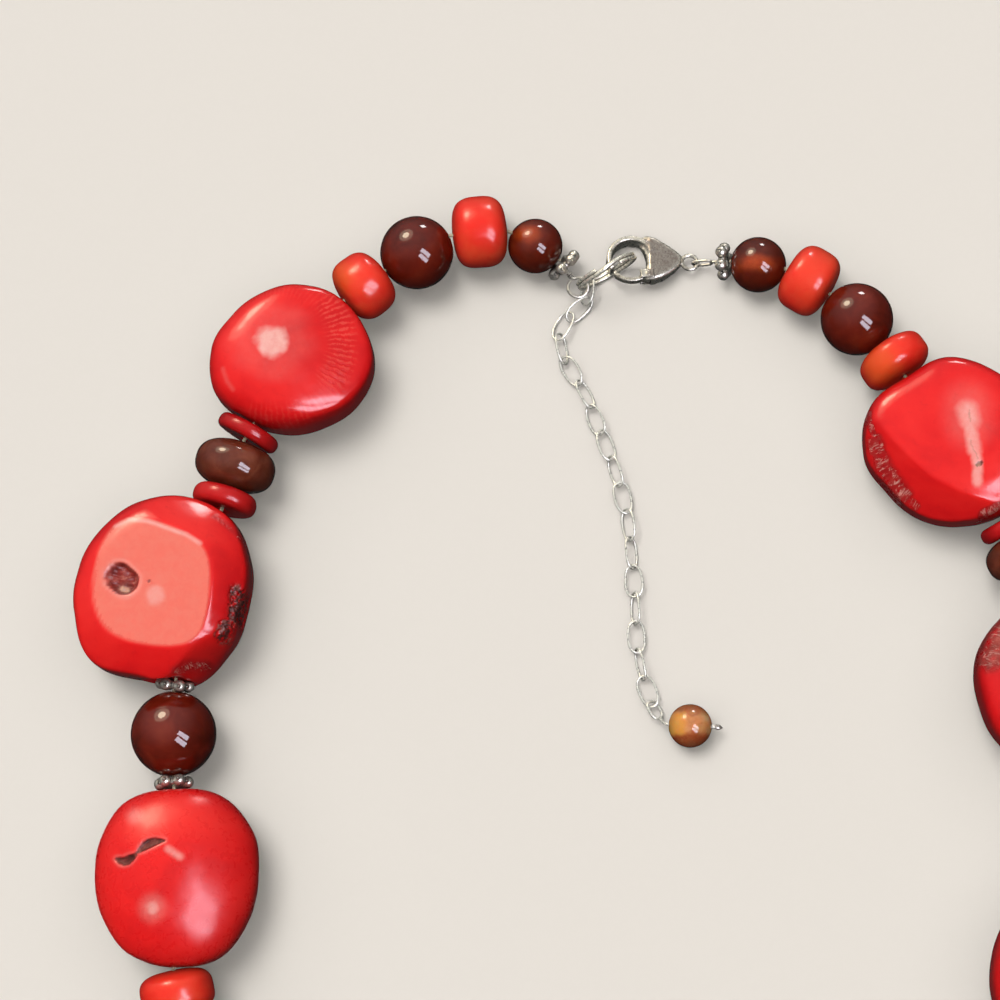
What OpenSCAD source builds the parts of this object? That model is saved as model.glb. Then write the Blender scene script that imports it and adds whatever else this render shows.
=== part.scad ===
// Statement necklace of red coral and carnelian beads on one thread, closed by a
// silver lobster clasp, with an extender chain that lies inside the loop.
// Millimetres. The necklace lies on z = 0 with the clasp towards +Y; the origin is
// at the middle of its box on that plane.

/* [Thread] */
// Clear gap between neighbours on the thread
gap = 0.2; // [0.15:0.05:0.25]
// Drilled hole through every bead
hole_d = 1.2; // [1.0:0.1:1.4]
// Thickness of the beading thread
thread_d = 0.5; // [0.4:0.05:0.6]

/* [Coral nuggets] */
// Thickness of the upper pair of nuggets, face to face
nugget_a_t = 13; // [12:0.5:14]
// Thickness of the second pair of nuggets
nugget_b_t = 14; // [13:0.5:15]
// Thickness of the rounded third pair of nuggets
nugget_c_t = 15; // [14:0.5:16]
// Thickness of the lower pair and of the centre nugget
nugget_d_t = 14; // [13:0.5:15]
// Thickness of the flat coral discs
disc_round = 0.45; // [0.3:0.05:0.6]

/* [Silver] */
// Granules round each daisy spacer
granules = 6; // [5:1:6]
// Diameter of one granule
granule_d = 1.45; // [1.2:0.05:1.5]
// Outer diameter of the heavy ring in the clasp
ring_od = 9.4; // [9.2:0.1:9.6]
// Wire of the heavy ring, wound twice
ring_wire = 0.6; // [0.5:0.05:0.65]
// Wire of the chain links
link_wire = 0.4; // [0.35:0.05:0.45]
// Outer length of one chain link
link_l = 4.9; // [4.8:0.05:4.95]
// Outer width of one chain link
link_w = 2.8; // [2.7:0.1:3]
// Diameter of the bead at the end of the chain
end_bead_d = 6; // [5.5:0.1:6]

/* [Clasp] */
// Depth of the clasp body, front to back
clasp_t = 2.4; // [2.2:0.1:2.6]
// Radius of the hook to the middle of its wall
hook_r = 3.15; // [3.1:0.05:3.2]
// Wall of the hook
hook_w = 0.8; // [0.7:0.05:0.9]
// Depth of the lever
lever_t = 1.2; // [1:0.1:1.3]
// Clearance round the lever and its pin
clasp_play = 0.1; // [0.08:0.01:0.12]

/* [Hidden] */
$fn = 64;

CORAL = "#c81414";
DARK = "#451410";
BROWN = "#5a2418";
AMBER = "#b5561e";
SILVER = "#a8a49a";

// Shift from the working centre of the loop to the middle of the necklace's box
MID = [1.6, 5.2, 0];

// ---- The two strands, clasp end first ----
// columns: length along the thread, heading of the hole (degrees from +X, anticlockwise),
// height of the thread at the bead's far end, diameter (round kinds), edge fullness
// (1 = ball, smaller = squarer barrel, 0 = spacer, -1 = nugget from its own table), and
// room beyond the usual gap after the bead, where the thread bends
LEN = 0; HEAD = 1; ZEND = 2; DIA = 3; FULL = 4; ROOM = 5;
LEFT_START = [-4.4, 80.4, 2.9];
LEFT = [
    [ 1.5, 134, 3.4,  5.1, 0,    0],     // 0 spacer
    [ 7.8, 151, 5.0,  7.8, 1,    0.5],   // 1 small carnelian
    [ 7.8, 186, 5.5, 10.3, 0.65, 0.4],   // 2 coral barrel
    [10.3, 210, 5.8, 10.4, 1,    0.05],  // 3 carnelian
    [ 7.1, 218, 6.4,  9.6, 0.7,  0.15],  // 4 small coral
    [21.6, 235, 6.3,    0, -1,   0],     // 5 nugget a
    [ 2.2, 241, 6.3,  9.2, 0.45, 0.3],  // 6 disc
    [ 6.9, 254, 6.3, 11.4, 0.8,  0.05],  // 7 carnelian rondelle
    [ 2.8, 254, 6.6,  9.2, 0.45, 0.1],     // 8 disc
    [24.1, 256, 6.8,    0, -1,   0.15],   // 9 nugget b
    [ 1.3, 262, 6.6,  5.1, 0,    0.15],  // 10 spacer
    [11.6, 271, 6.3, 11.8, 1,    0.15],  // 11 carnelian
    [ 1.3, 274, 6.6,  5.1, 0,    0.05],  // 12 spacer
    [24.2, 271, 7.0,    0, -1,   0.1],   // 13 nugget c
    [ 6.0, 281, 6.4, 10.2, 0.65, 0.2],   // 14 small coral
    [11.6, 299, 6.3, 11.8, 1,    0.05],  // 15 carnelian
    [ 6.4, 304, 6.8, 10.0, 0.65, 0.1],   // 16 small coral
    [25.5, 312, 6.8,    0, -1,   0.15],  // 17 nugget d
    [ 1.5, 321, 6.5,  5.1, 0,    0.1],   // 18 spacer
    [12.0, 329, 6.5, 12.1, 1,    0.05],  // 19 carnelian
    [ 1.5, 338, 6.8,  5.1, 0,    0.1]    // 20 spacer
];
RIGHT_START = [17.1, 81.3, 2.9];
RIGHT = [
    [ 1.5,   -3, 3.4,  5.1, 0,    0],     // 0 spacer
    [ 7.9,  -11, 5.0,  7.9, 1,    0.15],   // 1 small carnelian
    [ 6.8,  -33, 5.3,  9.8, 0.6,  0.15],  // 2 coral barrel
    [10.1,  -47, 5.7, 10.2, 1,    0.05],  // 3 carnelian
    [ 5.4,  -58, 6.4, 10.2, 0.65, 0.1],   // 4 flat coral bead
    [23.6,  -56, 6.5,    0, -1,   0.1],   // 5 nugget a
    [ 2.2,  -60, 6.3,  9.2, 0.45, 0.05],  // 6 disc
    [ 6.3,  -66, 6.3, 11.4, 0.8,  0.05],  // 7 carnelian rondelle
    [ 2.7,  -70, 6.6,  9.2, 0.45, 0.45],  // 8 disc
    [23.9,  -78, 6.8,    0, -1,   0.15],  // 9 nugget b
    [ 1.5,  -85, 6.6,  5.1, 0,    0.05],  // 10 spacer
    [11.6,  -91, 6.3, 11.7, 1,    0.1],   // 11 carnelian
    [ 1.5,  -97, 6.6,  5.1, 0,    0.1],   // 12 spacer
    [25.0, -103, 7.0,    0, -1,   0.1],   // 13 nugget c
    [ 6.4, -113, 6.4, 10.2, 0.65, 0.1],   // 14 small coral
    [12.0, -121, 6.3, 12.1, 1,    0.15],  // 15 carnelian
    [ 6.4, -131, 6.8, 10.0, 0.65, 0.4],   // 16 small coral
    [25.4, -147, 6.8,    0, -1,   0.3],   // 17 nugget d
    [ 1.5, -160, 6.5,  5.1, 0,    0.1],   // 18 spacer
    [12.0, -166, 6.5, 12.1, 1,    0.05],  // 19 carnelian
    [ 1.5, -172, 6.8,  5.1, 0,    0.1]    // 20 spacer
];

// ---- Nugget outlines ----
// half widths seen from above, every 30 degrees anticlockwise from the heading;
// then how far the outline's middle lies along and to the left of the hole's middle
A_L = [10.8, 10.5, 10.4, 11.1, 11.6, 11.1, 10.8, 10.4, 10.1, 10.3, 11.4, 11.9];
A_L_OFF = [0, -0.8];
B_L = [11.6, 12.7, 12.6, 11.7, 12.2, 13.0, 12.3, 12.6, 12.0, 12.1, 12.9, 14.3];
B_L_OFF = [0.3, -4.6];
C_L = [12.1, 12.5, 11.6, 11.4, 12.3, 12.8, 12.1, 12.4, 11.5, 10.8, 11.1, 12.0];
C_L_OFF = [0, 0.3];
D_L = [12.7, 12.7, 12.2, 11.6, 12.2, 12.8, 12.7, 12.6, 11.8, 11.5, 12.0, 12.6];
D_L_OFF = [0, -0.6];
A_R = [11.5, 12.3, 11.9, 11.6, 11.9, 12.5, 11.7, 12.9, 12.4, 11.0, 10.9, 10.9];
A_R_OFF = [0, -0.4];
B_R = [11.8, 12.7, 12.4, 11.8, 12.2, 12.7, 11.9, 12.3, 12.4, 12.0, 12.3, 12.6];
B_R_OFF = [0, -0.5];
C_R = [12.4, 12.4, 11.6, 11.2, 11.8, 12.5, 12.4, 12.4, 11.9, 11.6, 11.9, 12.4];
C_R_OFF = [0, 0.4];
D_R = [12.6, 12.6, 12.0, 11.8, 12.4, 12.8, 12.6, 12.4, 12.0, 11.7, 12.1, 12.6];
D_R_OFF = [0, -0.5];
E_C = [13.6, 13.3, 12.7, 12.3, 12.6, 13.2, 13.6, 13.4, 12.9, 12.6, 12.8, 13.3];

// ---- Route of the extender chain, link by link from the heavy ring ----
// columns: middle of the link x, y, z; heading; roll about its length; dip of its far end
CHAIN = [
    [-1.58, 77.8,  1.43,  -97,  44, 1],
    [-2.8,  74.9,  1.2,  -137, -35, 0],
    [-5.1,  72.5,  1.1,  -118,  25, 0],
    [-5.3,  69.1,  1.3,   -80, -56, 0],
    [-4.0,  65.9,  1.1,   -60,  28, 0],
    [-2.0,  62.5,  1.2,   -63, -50, 0],
    [-0.6,  58.8,  1.1,   -68,  34, 0],
    [ 0.9,  55.1,  1.1,   -71, -30, 0],
    [ 2.2,  51.3,  1.3,   -72,  55, 0],
    [ 3.25, 47.5,  1.1,   -77, -14, 0],
    [ 3.95, 43.6,  1.2,   -83,  48, 0],
    [ 4.35, 39.6,  1.2,   -85, -52, 0],
    [ 4.65, 35.6,  1.1,   -86,   8, 0],
    [ 4.85, 31.7,  1.35,  -88,  64, 0],
    [ 5.0,  27.7,  1.1,   -87, -14, 0],
    [ 5.5,  23.8,  1.35,  -78,  68, 0],
    [ 6.5,  20.0,  1.15,  -70,   4, 0]
];

// ---- Clasp ----
CLASP_AT = [4.55, 81.6, 2.1];   // middle of the hook's opening
CLASP_TURN = [-12, 3, 0];       // rolled onto its back edge, tail a little lower
PIVOT = [2.45, -2.35];          // lever's pin, in the clasp's own plane
TIP_R = 4.9;                    // reach of the lever's tip from its pin
RING_AT = [1.1, 79.6];
RING_HEAD = 28.4;

// ---- Helpers ----
function dir(a) = [cos(a), sin(a), 0];
function lerp(a, b, t) = a + (b - a)*t;
function flat(p) = [p.x, p.y, 0];
// the point where each bead of a strand starts, and last the strand's end
function starts(T, p) = [for (i = 0, q = p; i <= len(T);
    q = i < len(T) ? flat(q) + (T[i][LEN] + T[i][ROOM] + gap)*dir(T[i][HEAD]) + [0, 0, T[i][ZEND]] : q,
    i = i + 1) q];
PL = starts(LEFT, LEFT_START);
PR = starts(RIGHT, RIGHT_START);
// the centre nugget takes up what is left between the two strands
E0 = PL[len(LEFT)];
E1 = PR[len(RIGHT)];
E_HEAD = atan2(E1.y - E0.y, E1.x - E0.x);
E_LEN = norm(flat(E1) - flat(E0));
// the thread's own route, from clasp to clasp round the loop
ROUTE = concat([for (i = [1:len(LEFT)]) PL[i]], [for (i = [len(RIGHT):-1:1]) PR[i]]);

// an outline's half width at angle a, from a table of half widths at equal turns
function outline(T, a) = let (n = len(T), x = a*n/360, i = floor(x), f = x - i,
    s = f*f*(3 - 2*f)) lerp(T[i % n], T[(i + 1) % n], s);
function pw(x, e) = (x < 0 ? -1 : 1)*pow(abs(x), e);

// ball with a hole along z
module ball(d, bore) {
    rotate_extrude() intersection() {
        circle(d = d);
        translate([bore/2, -d/2]) square([d/2, d]);
    }
}

// barrel with rounded shoulders and a hole, standing along z
module turned(l, d, full) {
    n = 16;
    a = acos(pow(hole_d/d, 1/full));
    rotate_extrude() polygon([for (i = [0:n]) let (f = -a + 2*a*i/n)
        [d/2*pow(cos(f), full), l/2*pw(sin(f), full)]]);
}

// drum-like disc with softened rims and a hole, standing along z
module disc_solid(l, d) {
    r = min(disc_round, l/2 - 0.1);
    rotate_extrude() polygon([[hole_d/2, -l/2], [d/2 - 2*r, -l/2], [d/2 - r*0.7, -l/2 + r*0.25],
        [d/2 - r*0.2, -l/2 + r*0.8], [d/2, 0], [d/2 - r*0.2, l/2 - r*0.8],
        [d/2 - r*0.7, l/2 - r*0.25], [d/2 - 2*r, l/2], [hole_d/2, l/2]]);
}

// ring of granules soldered round a small collar, standing along z
module daisy(l, d) {
    rc = (d - granule_d)/2;
    difference() {
        union() {
            cylinder(r = rc - 0.25, h = l*0.6, center = true);
            for (i = [0:granules - 1]) rotate([0, 0, 360*i/granules])
                translate([rc, 0, 0]) sphere(d = granule_d);
        }
        cylinder(d = hole_d + 0.3, h = 3*l, center = true);
    }
}

// a tumbled tablet: outline table, half thickness, side fullness; flat top and bottom
module tablet(T, h, full, nu = 24, nv = 10, top = 62) {
    pts = [for (j = [0:nv]) let (f = -top + 2*top*j/nv) for (i = [0:nu - 1])
        let (a = 360*i/nu, r = outline(T, a)*pow(cos(f), full))
        [r*cos(a), r*sin(a), h*pw(sin(f), full)/pow(sin(top), full)]];
    faces = concat([[for (i = [0:nu - 1]) i]], [[for (i = [nu - 1:-1:0]) nv*nu + i]],
        [for (j = [0:nv - 1], i = [0:nu - 1]) let (k = (i + 1) % nu)
            each [[j*nu + i, (j + 1)*nu + i, (j + 1)*nu + k], [j*nu + i, (j + 1)*nu + k, j*nu + k]]]);
    polyhedron(pts, faces);
}

// the drilled hole between two points of the thread
module drilled(p, q) {
    v = q - p;
    l = norm(v);
    translate((p + q)/2) rotate([0, acos(v.z/l), atan2(v.y, v.x)])
        cylinder(d = hole_d, h = l + 12, center = true);
}

// bead i of a strand, by its row; nuggets take an outline, its offset and a thickness
module bead(T, P, i, tone, L = [], off = [0, 0], t = 0, full = 0.6) {
    p = P[i];
    h = T[i][HEAD];
    q0 = P[i + 1];
    v = q0 - p;
    mid = p + v*(T[i][LEN]/2)/norm(flat(v));
    color(tone) translate(-MID)
        if (T[i][FULL] < 0) difference() {
            translate([mid.x, mid.y, t/2]) rotate([0, 0, h])
                translate([off[0], off[1], 0]) tablet(L, t/2, full);
            drilled(p, q0);
        } else translate(mid) rotate([0, acos(v.z/norm(v)), h]) {
            if (T[i][FULL] == 0) rotate([0, 0, 30*(i % 2)]) daisy(T[i][LEN], T[i][DIA]);
            else if (T[i][FULL] == 1) ball(T[i][DIA], hole_d);
            else if (T[i][LEN] < 4) disc_solid(T[i][LEN], T[i][DIA]);
            else turned(T[i][LEN], T[i][DIA], T[i][FULL]);
        }
}

module left_spacer_1() { bead(LEFT, PL, 0, SILVER); }
module left_carnelian_1() { bead(LEFT, PL, 1, DARK); }
module left_coral_1() { bead(LEFT, PL, 2, CORAL); }
module left_carnelian_2() { bead(LEFT, PL, 3, DARK); }
module left_coral_2() { bead(LEFT, PL, 4, CORAL); }
module left_nugget_a() { bead(LEFT, PL, 5, CORAL, A_L, A_L_OFF, nugget_a_t, 0.55); }
module left_disc_1() { bead(LEFT, PL, 6, CORAL); }
module left_rondelle() { bead(LEFT, PL, 7, BROWN); }
module left_disc_2() { bead(LEFT, PL, 8, CORAL); }
module left_nugget_b() { bead(LEFT, PL, 9, CORAL, B_L, B_L_OFF, nugget_b_t, 0.55); }
module left_spacer_2() { bead(LEFT, PL, 10, SILVER); }
module left_carnelian_3() { bead(LEFT, PL, 11, DARK); }
module left_spacer_3() { bead(LEFT, PL, 12, SILVER); }
module left_nugget_c() { bead(LEFT, PL, 13, CORAL, C_L, C_L_OFF, nugget_c_t, 0.75); }
module left_coral_3() { bead(LEFT, PL, 14, CORAL); }
module left_carnelian_4() { bead(LEFT, PL, 15, DARK); }
module left_coral_4() { bead(LEFT, PL, 16, CORAL); }
module left_nugget_d() { bead(LEFT, PL, 17, CORAL, D_L, D_L_OFF, nugget_d_t, 0.65); }
module left_spacer_4() { bead(LEFT, PL, 18, SILVER); }
module left_carnelian_5() { bead(LEFT, PL, 19, DARK); }
module left_spacer_5() { bead(LEFT, PL, 20, SILVER); }
module right_spacer_1() { bead(RIGHT, PR, 0, SILVER); }
module right_carnelian_1() { bead(RIGHT, PR, 1, DARK); }
module right_coral_1() { bead(RIGHT, PR, 2, CORAL); }
module right_carnelian_2() { bead(RIGHT, PR, 3, DARK); }
module right_coral_2() { bead(RIGHT, PR, 4, CORAL); }
module right_nugget_a() { bead(RIGHT, PR, 5, CORAL, A_R, A_R_OFF, nugget_a_t, 0.55); }
module right_disc_1() { bead(RIGHT, PR, 6, CORAL); }
module right_rondelle() { bead(RIGHT, PR, 7, BROWN); }
module right_disc_2() { bead(RIGHT, PR, 8, CORAL); }
module right_nugget_b() { bead(RIGHT, PR, 9, CORAL, B_R, B_R_OFF, nugget_b_t, 0.6); }
module right_spacer_2() { bead(RIGHT, PR, 10, SILVER); }
module right_carnelian_3() { bead(RIGHT, PR, 11, DARK); }
module right_spacer_3() { bead(RIGHT, PR, 12, SILVER); }
module right_nugget_c() { bead(RIGHT, PR, 13, CORAL, C_R, C_R_OFF, nugget_c_t, 0.7); }
module right_coral_3() { bead(RIGHT, PR, 14, CORAL); }
module right_carnelian_4() { bead(RIGHT, PR, 15, DARK); }
module right_coral_4() { bead(RIGHT, PR, 16, CORAL); }
module right_nugget_d() { bead(RIGHT, PR, 17, CORAL, D_R, D_R_OFF, nugget_d_t, 0.6); }
module right_spacer_4() { bead(RIGHT, PR, 18, SILVER); }
module right_carnelian_5() { bead(RIGHT, PR, 19, DARK); }
module right_spacer_5() { bead(RIGHT, PR, 20, SILVER); }

// the centre nugget, between the ends of the two strands
module centre_nugget() {
    m = (E0 + E1)/2;
    color(CORAL) translate(-MID) difference() {
        translate([m.x, m.y, nugget_d_t/2]) rotate([0, 0, E_HEAD]) tablet([for (r = E_C)
            r*(E_LEN - 0.2)/27.2], nugget_d_t/2, 0.6);
        drilled(E0, E1);
    }
}

// the thread, a round cord through every hole, from the first bead on one side to the
// first on the other; its two ends stop inside those beads
module thread() {
    n = len(ROUTE);
    s = 6;
    A = ROUTE[0] + 1.2*dir(LEFT[1][HEAD]);
    B = ROUTE[n - 1] + 1.2*dir(RIGHT[1][HEAD]);
    R = [for (i = [0:n - 1]) i == 0 ? A : i == n - 1 ? B : ROUTE[i]];
    ring = [for (i = [0:n - 1]) let (
        a = R[max(i - 1, 0)], b = R[min(i + 1, n - 1)],
        t = (b - a)/norm(b - a), u = cross([0, 0, 1], t)/norm(cross([0, 0, 1], t)), w = cross(t, u))
        for (k = [0:s - 1]) R[i] + thread_d/2*(cos(360*k/s)*u + sin(360*k/s)*w)];
    color("#8a7a55") translate(-MID) polyhedron(ring, concat(
        [[for (k = [0:s - 1]) k]], [[for (k = [s - 1:-1:0]) (n - 1)*s + k]],
        [for (i = [0:n - 2], k = [0:s - 1]) let (m = (k + 1) % s)
            each [[i*s + k, (i + 1)*s + k, (i + 1)*s + m], [i*s + k, (i + 1)*s + m, i*s + m]]]));
}

// wire eye at the left end of the thread: it holds the heavy ring
module left_end_loop() {
    c = [-2.93, 77.65, 3.15];
    r = 1.43;
    w = 0.45;
    far = PL[0] + 0.9*dir(LEFT[0][HEAD]) + [0, 0, 0.25];
    v = far - c;
    l = norm(v);
    color(SILVER) translate(-MID) union() {
        translate(c) rotate_extrude() translate([r, 0]) circle(d = w);
        translate(c + v*r/l) rotate([0, acos(v.z/l), atan2(v.y, v.x)]) cylinder(d = w*0.95, h = l - r);
    }
}

// two turns of wire side by side, standing on edge through the hook and the eye
module heavy_ring() {
    color(SILVER) translate([RING_AT.x, RING_AT.y, ring_od/2 + 0.02] - MID) rotate([0, 0, RING_HEAD])
        rotate([96, 0, 0]) union() for (s = [-1, 1]) translate([0, 0, s*ring_wire*0.48])
            rotate_extrude() translate([(ring_od - ring_wire)/2, 0]) circle(d = ring_wire);
}

module in_clasp() { translate(CLASP_AT - MID) rotate(CLASP_TURN) children(); }

// hook, body with its two cheeks, and the ring soldered on the tail
module clasp_body() {
    t = clasp_t;
    color(SILVER) in_clasp() difference() {
        union() {
            // hook wall, rounded front and back
            translate([0.1, 0.15, 0]) rotate([0, 0, 30]) rotate_extrude(angle = 182) union() {
                translate([hook_r - hook_w/2, -(t - hook_w)/2]) square([hook_w, t - hook_w]);
                for (s = [-1, 1]) translate([hook_r, s*(t - hook_w)/2]) circle(d = hook_w);
            }
            // body
            linear_extrude(t, center = true) polygon([[1.5, 3.6], [2.6, 3.72], [3.7, 3.4], [5.2, 2.5],
                [6.6, 1.5], [7.35, 0.8], [7.5, 0.1], [7.1, -0.7], [6.4, -1.5], [5.5, -2.2], [4.5, -2.8],
                [3.4, -3.2], [2.4, -3.3], [1.8, -3.0], [1.6, -2.4], [1.9, -1.8], [2.25, -1.0],
                [2.3, 0.2], [2.0, 1.3], [1.4, 2.2]]);
            // tail ring
            translate([8.5, -0.05, 0]) rotate_extrude() translate([1.1, 0]) circle(d = 0.54);
        }
        // slot between the cheeks
        translate([PIVOT.x, PIVOT.y, -(lever_t/2 + clasp_play)]) union() {
            cylinder(r = 0.95, h = lever_t + 2*clasp_play);
            rotate([0, 0, 95]) translate([0, -0.95, 0]) cube([1.6, 1.9, lever_t + 2*clasp_play]);
            rotate([0, 0, 150]) translate([0, -0.95, 0]) cube([1.6, 2.2, lever_t + 2*clasp_play]);
            rotate([0, 0, 180]) translate([0, -0.6, 0]) cube([1.6, 1.9, lever_t + 2*clasp_play]);
        }
        // bore for the pin
        translate([PIVOT.x, PIVOT.y, 0]) cylinder(d = 0.6 + 2*clasp_play, h = 2*t, center = true);
        // seat in the hook's end that the lever's tip swings past
        intersection() {
            translate([PIVOT.x, PIVOT.y, 0]) cylinder(r = TIP_R + clasp_play, h = 2*t, center = true);
            translate([-4, -3, -t]) cube([2.5, 3.5, 2*t]);
        }
    }
}

// curved lever on its pin: it closes the hook and springs back when pushed in
module clasp_lever() {
    color(SILVER) in_clasp() union() {
        translate([PIVOT.x, PIVOT.y, 0]) cylinder(r = 0.8, h = lever_t, center = true);
        translate([PIVOT.x, PIVOT.y, 0]) cylinder(d = 0.6, h = clasp_t, center = true);
        intersection() {
            translate([0.1, 0.15, 0]) rotate([0, 0, 215.5]) rotate_extrude(angle = 85)
                translate([hook_r, 0]) square([0.7, lever_t], center = true);
            translate([PIVOT.x, PIVOT.y, 0]) cylinder(r = TIP_R, h = 2*lever_t, center = true);
        }
    }
}

// a long wire link: two half rounds and two straight sides, lying along x
module wire_link(l, w, d) {
    r = (w - d)/2;
    s = l/2 - w/2;
    union() for (k = [0, 180]) rotate([0, 0, k]) {
        translate([s, 0, 0]) rotate([0, 0, -90]) rotate_extrude(angle = 180)
            translate([r, 0]) circle(d = d);
        translate([-s, r, 0]) rotate([0, 90, 0]) cylinder(d = d, h = 2*s);
    }
}

// narrow doubled wire from the tail ring into the right strand
module right_end_loop() {
    a = [14.5, 81.4, 1.8];
    b = [17.7, 81.35, 3.0];
    v = b - a;
    l = norm(v);
    color(SILVER) translate(-MID) translate(a) rotate([0, -asin(v.z/l), atan2(v.y, v.x)]) union() {
        translate([0.35, 0, 0]) rotate([75, 0, 0]) wire_link(3.2, 1.6, 0.38);
        translate([1.7, 0, 0]) rotate([0, 90, 0]) cylinder(d = 0.42, h = l - 1.7);
    }
}

module extender_chain() {
    color(SILVER) translate(-MID) for (c = CHAIN)
        translate([c[0], c[1], c[2]]) rotate([0, 0, c[3]]) rotate([0, c[5], 0]) rotate([c[4], 0, 0])
            wire_link(link_l, link_w, link_wire);
}

END_AT = [12.3, 15.0, 3.0];   // middle of the end bead
END_HEAD = -3;
EYE_AT = [7.45, 17.4, 1.25];  // middle of the pin's eye

// pin through the end bead: a neck bent down from the hole ends in an eye, which hangs in
// the last link
module head_pin() {
    w = 0.38;
    r = 1.35;
    top = END_AT - 3.3*dir(END_HEAD);
    toe = EYE_AT + r*dir(-60);
    v = toe - top;
    l = norm(v);
    color(SILVER) translate(-MID) union() {
        translate(top) rotate([0, 90, END_HEAD]) cylinder(d = 0.5, h = 7.1);
        translate(END_AT + 3.9*dir(END_HEAD)) sphere(d = 0.8);
        translate(top) sphere(d = 0.52);
        translate(top) rotate([0, acos(v.z/l), atan2(v.y, v.x)]) cylinder(d = 0.42, h = l);
        translate(toe) sphere(d = 0.48);
        translate(EYE_AT) rotate([0, 0, -60]) rotate([-42, 0, 0])
            rotate_extrude() translate([r, 0]) circle(d = w);
    }
}

module end_bead() {
    color(AMBER) translate(END_AT - MID) rotate([0, 90, END_HEAD]) ball(end_bead_d, 0.9);
}

thread();
left_spacer_1();
left_carnelian_1();
left_coral_1();
left_carnelian_2();
left_coral_2();
left_nugget_a();
left_disc_1();
left_rondelle();
left_disc_2();
left_nugget_b();
left_spacer_2();
left_carnelian_3();
left_spacer_3();
left_nugget_c();
left_coral_3();
left_carnelian_4();
left_coral_4();
left_nugget_d();
left_spacer_4();
left_carnelian_5();
left_spacer_5();
centre_nugget();
right_spacer_1();
right_carnelian_1();
right_coral_1();
right_carnelian_2();
right_coral_2();
right_nugget_a();
right_disc_1();
right_rondelle();
right_disc_2();
right_nugget_b();
right_spacer_2();
right_carnelian_3();
right_spacer_3();
right_nugget_c();
right_coral_3();
right_carnelian_4();
right_coral_4();
right_nugget_d();
right_spacer_4();
right_carnelian_5();
right_spacer_5();
left_end_loop();
heavy_ring();
clasp_body();
clasp_lever();
right_end_loop();
extender_chain();
head_pin();
end_bead();
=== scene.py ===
"""Looks of a coral and carnelian necklace lying on a plain pale surface.

Shapes are worked out in millimetres in the necklace's working frame (X right, Y towards the
clasp, Z up) and moved to the shared frame by metres().
"""

import math

import bpy
import numpy as np
from mathutils import Matrix, Vector


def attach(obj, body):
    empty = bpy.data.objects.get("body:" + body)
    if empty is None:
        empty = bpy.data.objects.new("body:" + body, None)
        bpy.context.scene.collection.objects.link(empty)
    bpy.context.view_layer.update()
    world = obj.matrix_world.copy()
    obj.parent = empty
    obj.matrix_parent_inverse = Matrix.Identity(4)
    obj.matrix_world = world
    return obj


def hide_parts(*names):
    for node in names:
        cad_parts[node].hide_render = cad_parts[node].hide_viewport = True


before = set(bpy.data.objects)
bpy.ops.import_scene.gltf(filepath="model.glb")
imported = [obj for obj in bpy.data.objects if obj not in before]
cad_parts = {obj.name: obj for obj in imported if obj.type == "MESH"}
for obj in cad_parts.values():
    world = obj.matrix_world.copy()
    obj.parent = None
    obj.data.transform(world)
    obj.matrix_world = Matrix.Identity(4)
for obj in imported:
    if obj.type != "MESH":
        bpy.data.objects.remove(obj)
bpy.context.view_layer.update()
NECK = "necklace"
LEVER = "clasp_lever_body"

# ---------------------------------------------------------------- frame of reference
MID = np.array([1.6, 5.2, 0.0])   # working centre of the loop to the frame's origin, mm


def metres(P):
    return (np.asarray(P, float) - MID) * 0.001


def unit(v):
    v = np.asarray(v, float)
    return v / np.linalg.norm(v, axis=-1, keepdims=True)


def rot(axis, deg):
    a = math.radians(deg)
    c, s = math.cos(a), math.sin(a)
    return np.array({"x": [[1, 0, 0], [0, c, -s], [0, s, c]],
                     "y": [[c, 0, s], [0, 1, 0], [-s, 0, c]],
                     "z": [[c, -s, 0], [s, c, 0], [0, 0, 1]]}[axis])


def turned(P, M, at=(0, 0, 0)):
    """P turned by the matrix M, then moved to at."""
    return np.asarray(P) @ np.asarray(M).T + np.asarray(at)


def smooth(a, b, x):
    t = np.clip((x - a) / (b - a), 0, 1)
    return t * t * (3 - 2 * t)


def smax(a, b, k):
    """The larger of two distances, rounded over k where they meet."""
    h = np.clip(0.5 + 0.5 * (a - b) / k, 0, 1)
    return b + (a - b) * h + k * h * (1 - h)


def smin(a, b, k):
    return -smax(-np.asarray(a), -np.asarray(b), k)


# ---------------------------------------------------------------- seeded noise
_rng = np.random.RandomState(11)
_perm = _rng.permutation(256)
_perm = np.concatenate([_perm, _perm, _perm[:2]])
_grad = unit(_rng.normal(size=(256, 3)))


def noise(P):
    P = np.asarray(P, float)
    i = np.floor(P).astype(int)
    f = P - i
    i &= 255
    u = f * f * f * (f * (f * 6 - 15) + 10)
    out = 0
    for dx in (0, 1):
        for dy in (0, 1):
            for dz in (0, 1):
                h = _perm[(_perm[(_perm[(i[..., 0] + dx) & 255] + i[..., 1] + dy) & 255] + i[..., 2] + dz) & 255]
                g = ((f - [dx, dy, dz]) * _grad[h]).sum(-1)
                w = (u[..., 0] if dx else 1 - u[..., 0]) * (u[..., 1] if dy else 1 - u[..., 1]) * (u[..., 2] if dz else 1 - u[..., 2])
                out = out + w * g
    return out


def fbm(P, octaves=3, gain=0.5):
    P = np.asarray(P, float)
    out, a = 0, 1.0
    for k in range(octaves):
        out = out + a * noise(P * 2 ** k + 17.3 * k)
        a *= gain
    return out


# ---------------------------------------------------------------- meshes
def grid_faces(n, m, wrap):
    """Quads between n rings of m points; wrap joins the last ring to the first."""
    idx = np.arange(n * m).reshape(n, m)
    a, b = (idx, np.roll(idx, -1, 0)) if wrap else (idx[:-1], idx[1:])
    return np.stack([a, np.roll(a, -1, 1), np.roll(b, -1, 1), b], -1).reshape(-1, 4)


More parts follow.
